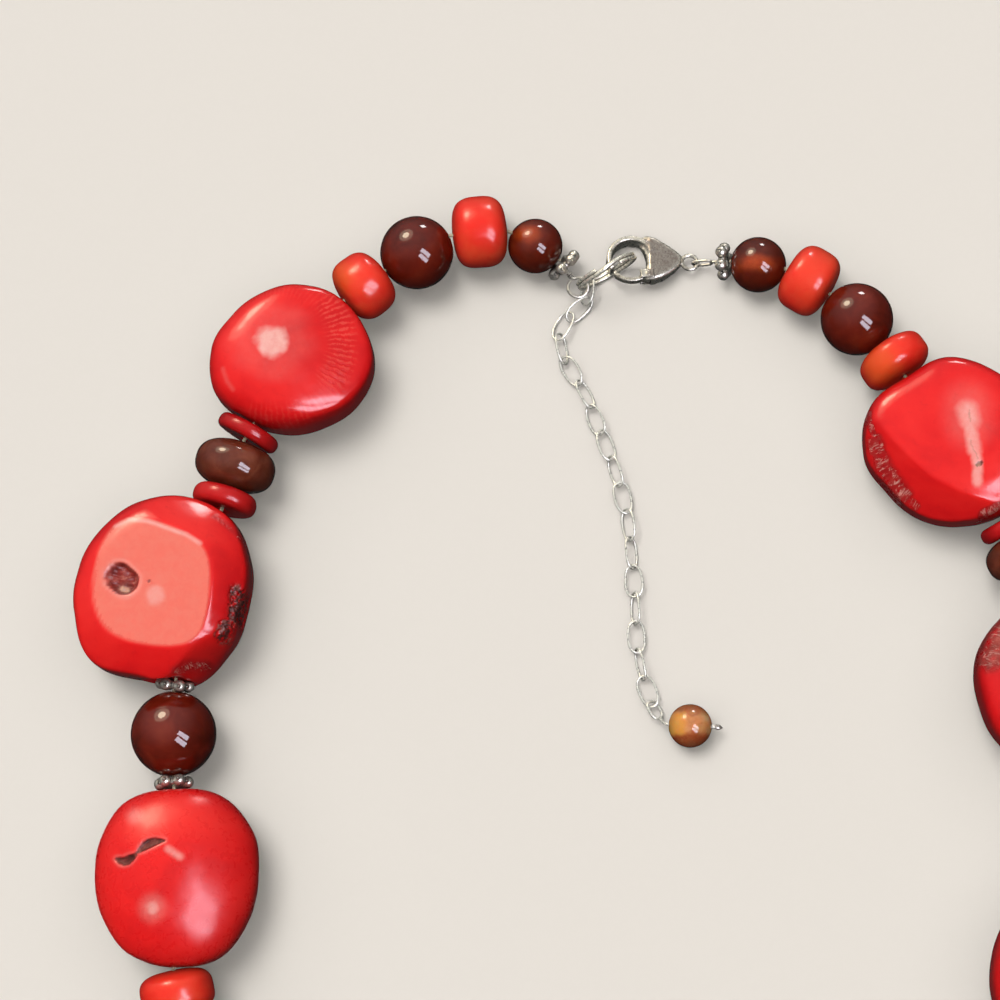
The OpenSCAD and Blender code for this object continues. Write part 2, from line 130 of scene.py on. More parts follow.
def join(parts):
    """Several (points, quads, triangles) as one."""
    V, Q, T, n = [], [], [], 0
    for v, q, t in parts:
        V.append(v)
        Q.append(np.asarray(q, int).reshape(-1, 4) + n)
        T.append(np.asarray(t, int).reshape(-1, 3) + n)
        n += len(v)
    return np.concatenate(V), np.concatenate(Q), np.concatenate(T)


def outward(V, Q, T):
    """Faces turned so that the closed surface holds a positive volume."""
    tri = np.concatenate([Q[:, [0, 1, 2]], Q[:, [0, 2, 3]], T]) if len(Q) else T
    vol = np.einsum("ij,ij->i", V[tri[:, 0]], np.cross(V[tri[:, 1]], V[tri[:, 2]])).sum()
    return (Q[:, ::-1], T[:, ::-1]) if vol < 0 else (Q, T)


def piece(name, parts, mat, node, body=NECK, attrs=None):
    """One visible object from closed parts; it rides on a body and stands for its nodes."""
    done = []
    for v, q, t in parts:
        v = np.asarray(v, float)
        q, t = outward(v - v.mean(0), np.asarray(q, int).reshape(-1, 4), np.asarray(t, int).reshape(-1, 3))
        done.append((v, q, t))
    V, Q, T = join(done)
    me = bpy.data.meshes.new(name)
    me.vertices.add(len(V))
    me.vertices.foreach_set("co", metres(V).astype(np.float32).ravel())
    loops = np.concatenate([Q.ravel(), T.ravel()]).astype(np.int32)
    me.loops.add(len(loops))
    me.loops.foreach_set("vertex_index", loops)
    me.polygons.add(len(Q) + len(T))
    me.polygons.foreach_set("loop_start", np.concatenate([np.arange(len(Q)) * 4, len(Q) * 4 + np.arange(len(T)) * 3]).astype(np.int32))
    me.update(calc_edges=True)
    me.polygons.foreach_set("use_smooth", np.ones(len(me.polygons), bool))
    for key, (kind, data) in (attrs or {}).items():
        at = me.attributes.new(key, kind, "POINT")
        at.data.foreach_set("color" if kind == "FLOAT_COLOR" else "vector", np.asarray(data, np.float32).ravel())
    me.materials.append(mat)
    o = bpy.data.objects.new(name, me)
    o.visible_diffuse = False      # no red bounce on the surface under it
    bpy.context.scene.collection.objects.link(o)
    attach(o, body)
    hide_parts(node)
    return o


def lathe(profile, m=72):
    """A closed ring profile of (along the axis, radius) turned about x."""
    a = np.linspace(0, 2 * math.pi, m, endpoint=False)
    R = np.array([[[x, r * math.cos(t), r * math.sin(t)] for t in a] for x, r in profile])
    return R.reshape(-1, 3), grid_faces(len(profile), m, True), np.zeros((0, 3), int)


def ball(c, r, n=16, stretch=(1, 1, 1)):
    """A closed ball of rings with two poles."""
    th = np.linspace(0, math.pi, n + 1)[1:-1]
    ph = np.linspace(0, 2 * math.pi, 2 * n, endpoint=False)
    R = np.array([[[math.sin(t) * math.cos(p), math.sin(t) * math.sin(p), math.cos(t)] for p in ph] for t in th]).reshape(-1, 3)
    V = np.concatenate([R, [[0, 0, 1], [0, 0, -1]]]) * r * np.asarray(stretch) + np.asarray(c)
    m, k = 2 * n, (n - 1) * 2 * n
    i = np.arange(m)
    T = np.concatenate([np.stack([np.full(m, k), i, (i + 1) % m], 1),
                        np.stack([np.full(m, k + 1), (n - 2) * m + (i + 1) % m, (n - 2) * m + i], 1)])
    return V, grid_faces(n - 1, m, False), T


def sweep(P, r, m=12, closed=False, flat=1.0, up=(0, 0, 1)):
    """A wire of radius r (one, or one a point) along P; open ends are rounded. flat squeezes
    the section along up."""
    P = np.asarray(P, float)
    n = len(P)
    r = np.broadcast_to(np.asarray(r, float), (n,)).copy()
    if closed:
        t = unit(np.roll(P, -1, 0) - np.roll(P, 1, 0))
    else:
        t = unit(np.gradient(P, axis=0))
        k = 4
        a = np.linspace(0, math.pi / 2, k + 1)
        P = np.concatenate([[P[0] - t[0] * r[0] * math.cos(x) for x in a[:-1]], P, [P[-1] + t[-1] * r[-1] * math.cos(x) for x in a[:-1][::-1]]])
        r = np.concatenate([[max(r[0] * math.sin(x), 0.02 * r[0]) for x in a[:-1]], r, [max(r[-1] * math.sin(x), 0.02 * r[-1]) for x in a[:-1][::-1]]])
        t = np.concatenate([[t[0]] * k, t, [t[-1]] * k])
        n = len(P)
    u = np.zeros((n, 3))
    s = np.asarray(up, float)
    s = s - t[0] * s.dot(t[0])
    if np.linalg.norm(s) < 1e-3:
        s = np.array([1.0, 0, 0]) - t[0] * t[0][0]
    u[0] = unit(s)
    for i in range(1, n):
        v = u[i - 1] - t[i] * u[i - 1].dot(t[i])
        u[i] = unit(v)
    if closed:
        v = u[-1] - t[0] * u[-1].dot(t[0])
        ang = math.atan2(np.cross(v, u[0]).dot(t[0]), v.dot(u[0]))
        for i in range(n):
            a = ang * i / n
            w = np.cross(t[i], u[i])
            u[i] = u[i] * math.cos(a) + w * math.sin(a)
    w = np.cross(t, u)
    ph = np.linspace(0, 2 * math.pi, m, endpoint=False)
    R = P[:, None] + r[:, None, None] * (flat * np.cos(ph)[None, :, None] * u[:, None] + np.sin(ph)[None, :, None] * w[:, None])
    V = R.reshape(-1, 3)
    T = np.zeros((0, 3), int)
    if not closed:
        k = len(V)
        V = np.concatenate([V, [P[0]], [P[-1]]])
        i = np.arange(m)
        T = np.concatenate([np.stack([np.full(m, k), (i + 1) % m, i], 1), np.stack([np.full(m, k + 1), (n - 1) * m + i, (n - 1) * m + (i + 1) % m], 1)])
    return V, grid_faces(n, m, closed), T


def spline(P, n=12, closed=False):
    """A smooth line through points."""
    P = np.asarray(P, float)
    N = len(P)
    out = []
    for i in range(N if closed else N - 1):
        p0, p1, p2, p3 = [P[(i + k) % N] if closed else P[min(max(i + k, 0), N - 1)] for k in (-1, 0, 1, 2)]
        for t in np.linspace(0, 1, n, endpoint=False):
            out.append(0.5 * (2 * p1 + (p2 - p0) * t + (2 * p0 - 5 * p1 + 4 * p2 - p3) * t * t + (3 * p1 - p0 - 3 * p2 + p3) * t ** 3))
    if not closed:
        out.append(P[-1])
    return np.array(out)


def surface_net(f, lo, hi, h):
    """Closed mesh of f = 0 on a grid of step h."""
    ax = [np.arange(lo[k], hi[k] + h, h) for k in range(3)]
    X = np.stack(np.meshgrid(*ax, indexing="ij"), -1)
    D = f(X.reshape(-1, 3)).reshape(X.shape[:3])
    c = [(i, j, k) for i in (0, 1) for j in (0, 1) for k in (0, 1)]
    sl = lambda q: D[q[0]:D.shape[0] - 1 + q[0], q[1]:D.shape[1] - 1 + q[1], q[2]:D.shape[2] - 1 + q[2]]
    acc = np.zeros(tuple(s - 1 for s in D.shape) + (3,))
    cnt = np.zeros(acc.shape[:3])
    for a in c:
        for k in range(3):
            if a[k]:
                continue
            b = tuple(a[q] + (q == k) for q in range(3))
            da, db = sl(a), sl(b)
            x = (da < 0) != (db < 0)
            t = np.where(x, da / np.where(x, da - db, 1), 0)
            for q in range(3):
                acc[..., q] += np.where(x, a[q] + (t if q == k else 0), 0)
            cnt += x
    m = cnt > 0
    idx = np.full(cnt.shape, -1)
    idx[m] = np.arange(m.sum())
    cell = np.stack(np.nonzero(m), -1)
    V = (cell + acc[m] / cnt[m][:, None]) * h + np.asarray(lo)
    Q = []
    for k in range(3):
        a, b = [slice(None)] * 3, [slice(None)] * 3
        a[k], b[k] = slice(0, -1), slice(1, None)
        s0, s1 = D[tuple(a)] < 0, D[tuple(b)] < 0
        p, q = [(1, 2), (2, 0), (0, 1)][k]
        e = np.stack(np.nonzero(s0 != s1), -1)
        e = e[(e[:, p] > 0) & (e[:, q] > 0) & (e[:, p] < cnt.shape[p]) & (e[:, q] < cnt.shape[q])]
        flip = s0[tuple(e.T)]
        o = [np.array(w) for w in ((0, 0), (-1, 0), (-1, -1), (0, -1))]
        quad = []
        for w in o:
            d = e.copy()
            d[:, p] += w[0]
            d[:, q] += w[1]
            quad.append(idx[tuple(d.T)])
        quad = np.stack(quad, -1)
        quad[~flip] = quad[~flip][:, ::-1]
        Q.append(quad)
    return V, np.concatenate(Q), np.zeros((0, 3), int)


# ---------------------------------------------------------------- materials
class Net:
    """Short way to build a node material."""

    def __init__(self, name):
        self.mat = bpy.data.materials.new(name)
        self.mat.use_nodes = True
        self.nt = self.mat.node_tree
        self.nt.nodes.clear()
        self.out = self.nt.nodes.new("ShaderNodeOutputMaterial")
        self.b = self.nt.nodes.new("ShaderNodeBsdfPrincipled")
        self.nt.links.new(self.b.outputs[0], self.out.inputs[0])

    def node(self, kind, ins=None, **props):
        n = self.nt.nodes.new(kind)
        for k, v in props.items():
            setattr(n, k, v)
        for k, v in (ins or {}).items():
            self.put(n.inputs[k], v)
        return n

    def put(self, sock, v):
        if isinstance(v, bpy.types.NodeSocket):
            self.nt.links.new(v, sock)
        elif isinstance(v, bpy.types.Node):
            self.nt.links.new(v.outputs[0], sock)
        else:
            sock.default_value = v

    def math(self, op, *a, clamp=False):
        n = self.nt.nodes.new("ShaderNodeMath")
        n.operation = op
        n.use_clamp = clamp
        for i, v in enumerate(a):
            self.put(n.inputs[i], v)
        return n.outputs[0]

    def vec(self, op, *a):
        n = self.nt.nodes.new("ShaderNodeVectorMath")
        n.operation = op
        for i, v in enumerate(a):
            self.put(n.inputs["Scale"] if op == "SCALE" and i == 1 else n.inputs[i], v)
        return n.outputs[0]

    def mix(self, f, a, b):
        n = self.nt.nodes.new("ShaderNodeMix")
        n.data_type = "RGBA"
        self.put(n.inputs[0], f)
        self.put(n.inputs[6], a)
        self.put(n.inputs[7], b)
        return n.outputs[2]

    def ramp(self, f, stops, mode="LINEAR"):
        n = self.nt.nodes.new("ShaderNodeValToRGB")
        n.color_ramp.interpolation = mode
        e = n.color_ramp.elements
        while len(e) < len(stops):
            e.new(0.5)
        for q, (p, c) in zip(e, stops):
            q.position = p
            q.color = (c, c, c, 1) if isinstance(c, (int, float)) else tuple(c) + (1,)
        self.put(n.inputs[0], f)
        return n.outputs[0]

    def range(self, f, a, b, c=0.0, d=1.0, smooth=True):
        n = self.nt.nodes.new("ShaderNodeMapRange")
        n.interpolation_type = "SMOOTHSTEP" if smooth else "LINEAR"
        for i, v in enumerate((f, a, b, c, d)):
            self.put(n.inputs[i], v)
        return n.outputs[0]

    def noise(self, vec, scale, detail=3.0, rough=0.5, warp=0.0):
        n = self.nt.nodes.new("ShaderNodeTexNoise")
        self.put(n.inputs["Vector"], vec)
        n.inputs["Scale"].default_value = scale
        n.inputs["Detail"].default_value = detail
        n.inputs["Roughness"].default_value = rough
        n.inputs["Distortion"].default_value = warp
        return n.outputs["Fac"]

    def mm(self):
        return self.vec("SCALE", self.node("ShaderNodeTexCoord").outputs["Object"], 1000.0)

    def attr(self, name):
        return self.node("ShaderNodeAttribute", attribute_name=name)

    def bump(self, height, strength, dist):
        n = self.node("ShaderNodeBump", {"Height": height})
        n.inputs["Strength"].default_value = strength
        n.inputs["Distance"].default_value = dist * 0.001
        self.put(self.b.inputs["Normal"], n.outputs[0])
        return n

    def set(self, **k):
        for key, v in k.items():
            self.put(self.b.inputs[key.replace("_", " ")], v)
        return self.mat


def coral(name, deep, mid, light, rough=0.17, inner=0.12, depth=0.0015):
    """Polished coral: mottled red with growth lines, milky spots, white flecks and brown pits, with painted highlights
    among the milky spots and a ground face painted paler as a sheen.
    """
    n = Net(name)
    p = n.mm()
    w = n.attr("wear_and_glints")
    f = n.attr("face")
    loc = n.node("ShaderNodeSeparateXYZ", {"Vector": n.attr("local").outputs["Vector"]})
    sep = n.node("ShaderNodeSeparateColor", {"Color": w.outputs["Color"]})
    # first channel: milky spots together with painted highlights
    milky_and_glint, brown, chalk, lines = sep.outputs[0], sep.outputs[1], sep.outputs[2], w.outputs["Alpha"]
    fsep = n.node("ShaderNodeSeparateColor", {"Color": f.outputs["Color"]})
    # face: a matt ground face, also painted paler as a sheen, and an orange patch
    matt_face_sheen, orange = fsep.outputs[0], fsep.outputs[1]
    low = n.noise(p, 0.09, 3, 0.55, 0.4)
    mot = n.noise(p, 0.8, 4, 0.6, 0.6)
    fine = n.noise(p, 5.0, 4, 0.6)
    col = n.ramp(low, [(0.32, deep), (0.5, mid), (0.70, light)])
    col = n.mix(n.range(mot, 0.52, 0.8, 0, 0.35), col, tuple(light) + (1,))
    col = n.mix(n.range(mot, 0.46, 0.25, 0, 0.35), col, tuple(deep) + (1,))
    # growth lines that run out from the heart of the branch
    turn = n.math("ARCTAN2", loc.outputs[1], loc.outputs[0])
    wave = n.math("SINE", n.math("ADD", n.math("MULTIPLY", turn, 80.0), n.math("MULTIPLY", n.noise(p, 0.5, 3, 0.6), 8.0)))
    ray = n.math("MULTIPLY_ADD", wave, 0.13, n.math("MULTIPLY_ADD", n.noise(p, 1.6, 4, 0.7), 0.7, 0.15))
    ray_p = n.math("MULTIPLY", n.range(ray, 0.48, 0.66), lines)
    ray_d = n.math("MULTIPLY", n.range(ray, 0.46, 0.34), lines)
    col = n.mix(n.math("MULTIPLY", ray_p, 0.42), col, (0.95, 0.17, 0.12, 1))
    col = n.mix(n.math("MULTIPLY", ray_d, 0.2), col, tuple(c * 0.6 for c in deep) + (1,))
    col = n.mix(n.math("MULTIPLY", orange, 0.85), col, (0.88, 0.10, 0.02, 1))
    # milky spots mixed with painted highlights, then the matt ground face, painted paler as a sheen
    cloud = n.range(n.noise(p, 1.4, 3, 0.6), 0.3, 0.7, 0.8, 1.0)
    matt_face_sheen = n.math("MULTIPLY", matt_face_sheen, n.math("SUBTRACT", 1.0, brown))
    col = n.mix(n.math("MULTIPLY", matt_face_sheen, n.range(mot, 0.3, 0.7, 0.84, 0.98)), col, (0.91, 0.205, 0.147, 1))
    col = n.mix(n.math("MULTIPLY", milky_and_glint, cloud), col, (0.96, 0.50, 0.44, 1))
    # broken crust: white flecks on dark red
    along = n.node("ShaderNodeCombineXYZ", {"X": n.math("MULTIPLY", turn, 26.0), "Y": n.math("MULTIPLY", n.node("ShaderNodeSeparateXYZ", {"Vector": p}).outputs[2], 0.7)})
    fleck = n.range(n.math("MULTIPLY_ADD", chalk, 0.24, n.noise(along.outputs[0], 1.0, 5, 0.7, 1.2)), 0.74, 0.83)
    col = n.mix(n.math("MULTIPLY", chalk, 0.55), col, (0.30, 0.010, 0.014, 1))
    col = n.mix(n.math("MULTIPLY", n.math("MULTIPLY", n.range(chalk, 0.02, 0.35), fleck), 0.85), col, (0.88, 0.42, 0.35, 1))
    pit = n.ramp(n.noise(p, 0.75, 3, 0.6), [(0.32, (0.045, 0.008, 0.005)), (0.50, (0.16, 0.026, 0.020)), (0.70, (0.40, 0.13, 0.10))])
    # where a painted highlight patch lies over a pit, the pit's floor is painted lighter, as painted light
    pit = n.mix(n.range(milky_and_glint, 0.55, 0.95, 0, 0.8), pit, (0.74, 0.40, 0.25, 1))
    col = n.mix(brown, col, pit)
    worn = n.math("ADD", n.math("MULTIPLY", chalk, 0.14), n.math("MULTIPLY", brown, 0.16))
    rg = n.math("ADD", n.math("ADD", worn, n.math("MULTIPLY", matt_face_sheen, 0.16)), n.range(mot, 0.3, 0.8, rough - 0.03, rough + 0.05))
    h = n.math("ADD", n.math("MULTIPLY", mot, 0.35), n.math("MULTIPLY", fine, n.math("ADD", 0.06, n.math("MULTIPLY", worn, 9.0))))
    h = n.math("SUBTRACT", h, n.math("MULTIPLY", ray_d, 0.25))
    n.bump(h, 0.35, 0.12)
    n.b.inputs["Subsurface Radius"].default_value = (depth, depth * 0.13, depth * 0.1)
    n.b.inputs["Subsurface Scale"].default_value = 1.0
    return n.set(Base_Color=col, Roughness=rg, IOR=1.5, Subsurface_Weight=inner)


def carnelian(name, deep, mid, light, trans=0.0, sss=0.35, band=0.22, painted_glow=(0.48, 0.060, 0.008)):
    """Polished translucent stone with soft cloudy bands, painted shade at its edges and a painted glow of light through
    it where the face attribute asks.
    """
    n = Net(name)
    p = n.mm()
    f = n.node("ShaderNodeSeparateColor", {"Color": n.attr("face").outputs["Color"]})
    cloud = n.noise(p, band, 3, 0.55, 0.5)
    fine = n.noise(p, 2.2, 4, 0.65, 0.5)
    col = n.ramp(cloud, [(0.30, deep), (0.52, mid), (0.74, light)])
    col = n.mix(n.range(fine, 0.5, 0.8, 0, 0.16), col, tuple(light) + (1,))
    # face: painted shade in the first channel, a painted glow of light in the second
    col = n.mix(n.math("MULTIPLY", f.outputs[0], n.range(fine, 0.3, 0.7, 0.75, 0.95)), col, tuple(deep) + (1,))
    col = n.mix(n.math("MULTIPLY", f.outputs[1], n.range(fine, 0.3, 0.7, 0.7, 0.9)), col, tuple(painted_glow) + (1,))
    n.bump(n.noise(p, 1.1, 3, 0.5), 0.08, 0.05)
    n.b.inputs["Subsurface Radius"].default_value = (0.0028, 0.0007, 0.0003)
    n.b.inputs["Subsurface Scale"].default_value = 1.0
    return n.set(Base_Color=col, Roughness=n.range(fine, 0.3, 0.8, 0.03, 0.09), IOR=1.54, Subsurface_Weight=sss,
                 Transmission_Weight=trans)


def silver(name, bright=(0.86, 0.80, 0.69), dark=(0.060, 0.050, 0.034), tarnish=0.6, rough=0.26, ao=1.2, worn=0.12, metal=0.78):
    """Worn oxidised silver: bright where rubbed, dark in hollows."""
    n = Net(name)
    p = n.mm()
    a = n.node("ShaderNodeAmbientOcclusion", {"Distance": ao * 0.001}, samples=8)
    hollow = n.range(a.outputs["AO"], 0.25, 0.85)
    spots = n.noise(p, 1.6, 4, 0.6, 0.5)
    k = n.math("MULTIPLY", hollow, n.range(spots, 0.28, 0.28 + 0.5 * tarnish, 0.25, 1.0))
    dull = n.node("ShaderNodeSeparateColor", {"Color": n.attr("face").outputs["Color"]}).outputs[0]
    fine = n.noise(p, 4.2, 4, 0.7)
    col = n.mix(k, tuple(dark) + (1,), tuple(bright) + (1,))
    col = n.mix(n.math("MULTIPLY", dull, n.range(fine, 0.35, 0.6, 0.95, 0.62)), col, (0.25, 0.195, 0.175, 1))
    scr = n.noise(n.vec("MULTIPLY", p, (1.0, 6.0, 3.0)), 2.4, 4, 0.7)
    n.bump(n.math("ADD", n.noise(p, 3.0, 3, 0.6), n.math("MULTIPLY", scr, 0.4)), worn, 0.05)
    return n.set(Base_Color=col, Metallic=metal, Roughness=n.range(spots, 0.25, 0.75, rough + 0.16, rough - 0.04))


CORAL = coral("coral_red", (0.70, 0.006, 0.009), (0.86, 0.011, 0.012), (0.95, 0.024, 0.020), rough=0.15)
CORAL_SOFT = coral("coral_soft_red", (0.72, 0.008, 0.010), (0.88, 0.013, 0.013), (0.95, 0.026, 0.021), rough=0.29)
CORAL_BRIGHT = coral("coral_orange_red", (0.92, 0.022, 0.012), (0.97, 0.044, 0.021), (0.98, 0.085, 0.032), rough=0.22, inner=0.4, depth=0.003)
CORAL_DISC = coral("coral_dark_red", (0.36, 0.005, 0.006), (0.56, 0.008, 0.010), (0.70, 0.018, 0.016), rough=0.2)
STONE = carnelian("carnelian_dark", (0.090, 0.007, 0.002), (0.150, 0.011, 0.004), (0.22, 0.022, 0.008))
STONE_WARM = carnelian("carnelian_warm", (0.085, 0.010, 0.003), (0.145, 0.013, 0.004), (0.26, 0.034, 0.008), sss=0.5, band=0.14)
STONE_BROWN = carnelian("carnelian_brown", (0.12, 0.022, 0.010), (0.17, 0.034, 0.016), (0.24, 0.055, 0.026), sss=0.4, band=0.35)
AMBER = carnelian("carnelian_amber", (0.40, 0.075, 0.022), (0.74, 0.31, 0.115), (0.86, 0.44, 0.20), trans=0.15, sss=0.6, band=0.35, painted_glow=(0.98, 0.40, 0.060))
SILVER = silver("silver_worn")
SILVER_DARK = silver("silver_dark", bright=(0.80, 0.75, 0.66), dark=(0.035, 0.030, 0.024), tarnish=0.4, rough=0.30, ao=0.6, worn=0.05, metal=0.88)
SILVER_RING = silver("silver_ring", bright=(0.93, 0.88, 0.75), dark=(0.075, 0.065, 0.040), tarnish=0.35, rough=0.24, ao=0.45, worn=0.06, metal=0.6)
SILVER_CHAIN = silver("silver_chain", bright=(0.96, 0.93, 0.83), dark=(0.14, 0.13, 0.09), tarnish=0.2, rough=0.24, ao=0.5, worn=0.05, metal=0.5)

THREAD = Net("thread_fibre")
_p = THREAD.mm()
_w = THREAD.noise(THREAD.vec("MULTIPLY", _p, (9.0, 9.0, 9.0)), 1.0, 4, 0.7)
THREAD.bump(_w, 0.5, 0.1)
THREAD = THREAD.set(Base_Color=THREAD.ramp(_w, [(0.3, (0.50, 0.38, 0.24)), (0.7, (0.86, 0.74, 0.54))]), Roughness=0.8)

# ---------------------------------------------------------------- the two strands
# columns: length along the thread, heading, height of the thread at the far end, diameter,
# fullness (1 ball, smaller squarer, 0 spacer, -1 nugget), room after the bead
GAP, HOLE = 0.2, 0.6
LEFT_START, RIGHT_START = (-4.4, 80.4, 2.9), (17.1, 81.3, 2.9)
LEFT = [
    [ 1.5, 134, 3.4,  5.1, 0,    0],     # 0 spacer
    [ 7.8, 151, 5.0,  7.8, 1,    0.5],   # 1 small carnelian
    [ 7.8, 186, 5.5, 10.3, 0.65, 0.4],   # 2 coral barrel
    [10.3, 210, 5.8, 10.4, 1,    0.05],  # 3 carnelian
    [ 7.1, 218, 6.4,  9.6, 0.7,  0.15],  # 4 small coral
    [21.6, 235, 6.3,    0, -1,   0],     # 5 nugget a
    [ 2.2, 241, 6.3,  9.2, 0.45, 0.3],  # 6 disc
    [ 6.9, 254, 6.3, 11.4, 0.8,  0.05],  # 7 carnelian rondelle
    [ 2.8, 254, 6.6,  9.2, 0.45, 0.1],     # 8 disc
    [24.1, 256, 6.8,    0, -1,   0.15],   # 9 nugget b
    [ 1.3, 262, 6.6,  5.1, 0,    0.15],  # 10 spacer
    [11.6, 271, 6.3, 11.8, 1,    0.15],  # 11 carnelian
    [ 1.3, 274, 6.6,  5.1, 0,    0.05],  # 12 spacer
    [24.2, 271, 7.0,    0, -1,   0.1],   # 13 nugget c
    [ 6.0, 281, 6.4, 10.2, 0.65, 0.2],   # 14 small coral
    [11.6, 299, 6.3, 11.8, 1,    0.05],  # 15 carnelian
    [ 6.4, 304, 6.8, 10.0, 0.65, 0.1],   # 16 small coral
    [25.5, 312, 6.8,    0, -1,   0.15],  # 17 nugget d
    [ 1.5, 321, 6.5,  5.1, 0,    0.1],   # 18 spacer
    [12.0, 329, 6.5, 12.1, 1,    0.05],  # 19 carnelian
    [ 1.5, 338, 6.8,  5.1, 0,    0.1]    # 20 spacer
]
RIGHT = [
    [ 1.5,   -3, 3.4,  5.1, 0,    0],     # 0 spacer
    [ 7.9,  -11, 5.0,  7.9, 1,    0.15],   # 1 small carnelian
    [ 6.8,  -33, 5.3,  9.8, 0.6,  0.15],  # 2 coral barrel
    [10.1,  -47, 5.7, 10.2, 1,    0.05],  # 3 carnelian
    [ 5.4,  -58, 6.4, 10.2, 0.65, 0.1],   # 4 flat coral bead
    [23.6,  -56, 6.5,    0, -1,   0.1],   # 5 nugget a
    [ 2.2,  -60, 6.3,  9.2, 0.45, 0.05],  # 6 disc
    [ 6.3,  -66, 6.3, 11.4, 0.8,  0.05],  # 7 carnelian rondelle
    [ 2.7,  -70, 6.6,  9.2, 0.45, 0.45],  # 8 disc
    [23.9,  -78, 6.8,    0, -1,   0.15],  # 9 nugget b
    [ 1.5,  -85, 6.6,  5.1, 0,    0.05],  # 10 spacer
    [11.6,  -91, 6.3, 11.7, 1,    0.1],   # 11 carnelian
    [ 1.5,  -97, 6.6,  5.1, 0,    0.1],   # 12 spacer
    [25.0, -103, 7.0,    0, -1,   0.1],   # 13 nugget c
    [ 6.4, -113, 6.4, 10.2, 0.65, 0.1],   # 14 small coral
    [12.0, -121, 6.3, 12.1, 1,    0.15],  # 15 carnelian
    [ 6.4, -131, 6.8, 10.0, 0.65, 0.4],   # 16 small coral
    [25.4, -147, 6.8,    0, -1,   0.3],   # 17 nugget d
    [ 1.5, -160, 6.5,  5.1, 0,    0.1],   # 18 spacer
    [12.0, -166, 6.5, 12.1, 1,    0.05],  # 19 carnelian
    [ 1.5, -172, 6.8,  5.1, 0,    0.1]    # 20 spacer
]

KIND = ["spacer", "carnelian", "coral", "carnelian", "coral", "nugget", "disc", "rondelle", "disc", "nugget",
        "spacer", "carnelian", "spacer", "nugget", "coral", "carnelian", "coral", "nugget", "spacer", "carnelian", "spacer"]
NAME = ["spacer_1", "carnelian_1", "coral_1", "carnelian_2", "coral_2", "nugget_a", "disc_1", "rondelle", "disc_2", "nugget_b",
        "spacer_2", "carnelian_3", "spacer_3", "nugget_c", "coral_3", "carnelian_4", "coral_4", "nugget_d", "spacer_4", "carnelian_5", "spacer_5"]


def walk(T, p):
    """Where each bead starts, its middle, and the line of its hole."""
    out = []
    p = np.array(p, float)
    for L, h, z, d, full, room in T:
        a = math.radians(h)
        q = np.array([p[0] + (L + room + GAP) * math.cos(a), p[1] + (L + room + GAP) * math.sin(a), z])
        v = q - p
        mid = p + v * (L / 2) / math.hypot(v[0], v[1])
        out.append((mid, unit(v), p.copy(), q.copy()))
        p = q
    return out, p


BL, E0 = walk(LEFT, LEFT_START)
BR, E1 = walk(RIGHT, RIGHT_START)


def bead_frame(t):
    """Turns x to the hole's direction t, y level, z up."""
    u = unit(np.cross([0, 0, 1], t))
    return np.stack([t, u, np.cross(t, u)], 1)


def marks(n, wear_and_glints=(0, 0, 0, 0.0), face=None, local=None):
    return {"wear_and_glints": ("FLOAT_COLOR", np.tile(wear_and_glints, (n, 1)) if np.ndim(wear_and_glints) == 1 else wear_and_glints),
            "face": ("FLOAT_COLOR", np.zeros((n, 4)) if face is None else face),
            "local": ("FLOAT_VECTOR", np.zeros((n, 3)) if local is None else local)}


def round_bead(node, at, L, D, full, mat, seed, lump=0.05, scale=4.0, m=64, n=46, orange=None, painted_glow=None):
    """A drilled bead of revolution, a little uneven as cut stone is; painted_glow paints a glow of light on its upper
    half.
    """
    mid, t = at[0], at[1]
    R = D / 2
    if full >= 1:
        a0 = math.acos(HOLE / R)
        prof = [(R * math.sin(a), R * math.cos(a)) for a in np.linspace(-a0, a0, n)]
    elif L < 4:
        prof = [(-L / 2 + 0.1, HOLE + 0.1), (-L / 2 + 0.02, HOLE + 0.8), (-L / 2, R - L / 2 - 0.6)]
        for a in np.radians(np.linspace(-90, 90, 25)):
            prof.append((L / 2 * math.copysign(abs(math.sin(a)) ** 0.85, math.sin(a)), R - L / 2 * 0.95 * (1 - math.cos(a) ** 0.9)))
        prof += [(L / 2, R - L / 2 - 0.6), (L / 2 - 0.02, HOLE + 0.8), (L / 2 - 0.1, HOLE + 0.1)]
    else:
        a0 = math.acos((HOLE / R) ** (1 / full))
        prof = [(L / 2 * math.copysign(abs(math.sin(a)) ** full, math.sin(a)), R * math.cos(a) ** full) for a in np.linspace(-a0, a0, n)]
    x0, x1 = prof[0][0], prof[-1][0]
    prof = [(x0 + 0.35, HOLE * 0.86), (x0 + 0.08, HOLE * 0.92)] + prof + [(x1 - 0.08, HOLE * 0.92), (x1 - 0.35, HOLE * 0.86)]
    V, Q, T = lathe(prof, m)
    k = smooth(HOLE, HOLE + 1.2, np.hypot(V[:, 1], V[:, 2]))
    V = V * (1 + (lump * (fbm(V / scale + seed, 2) - 0.35) * k / R)[:, None])
    face = np.zeros((len(V), 4))
    W = turned(V, bead_frame(t), mid)
    # a painted glow of light through the stone, on the upper half only
    if painted_glow is not None:
        x, y, rx, ry = painted_glow
        e = W - mid
        face[:, 1] = smooth(1.0, 0.2, np.hypot((e[:, 0] - x) / rx, (e[:, 1] - y) / ry) + 0.25 * fbm(W / 1.8 + seed, 2)) * (e[:, 2] > 0)
    if orange is not None:
        x, y, z, r = orange
        face[:, 1] = smooth(r, 0.3 * r, np.linalg.norm(W - mid - [x, y, z], axis=1) + 0.5 * fbm(W / 1.5, 2))
    return piece(node + "_bead", [(W, Q, T)], mat, node, attrs=marks(len(W), face=face, local=V[:, [1, 2, 0]]))


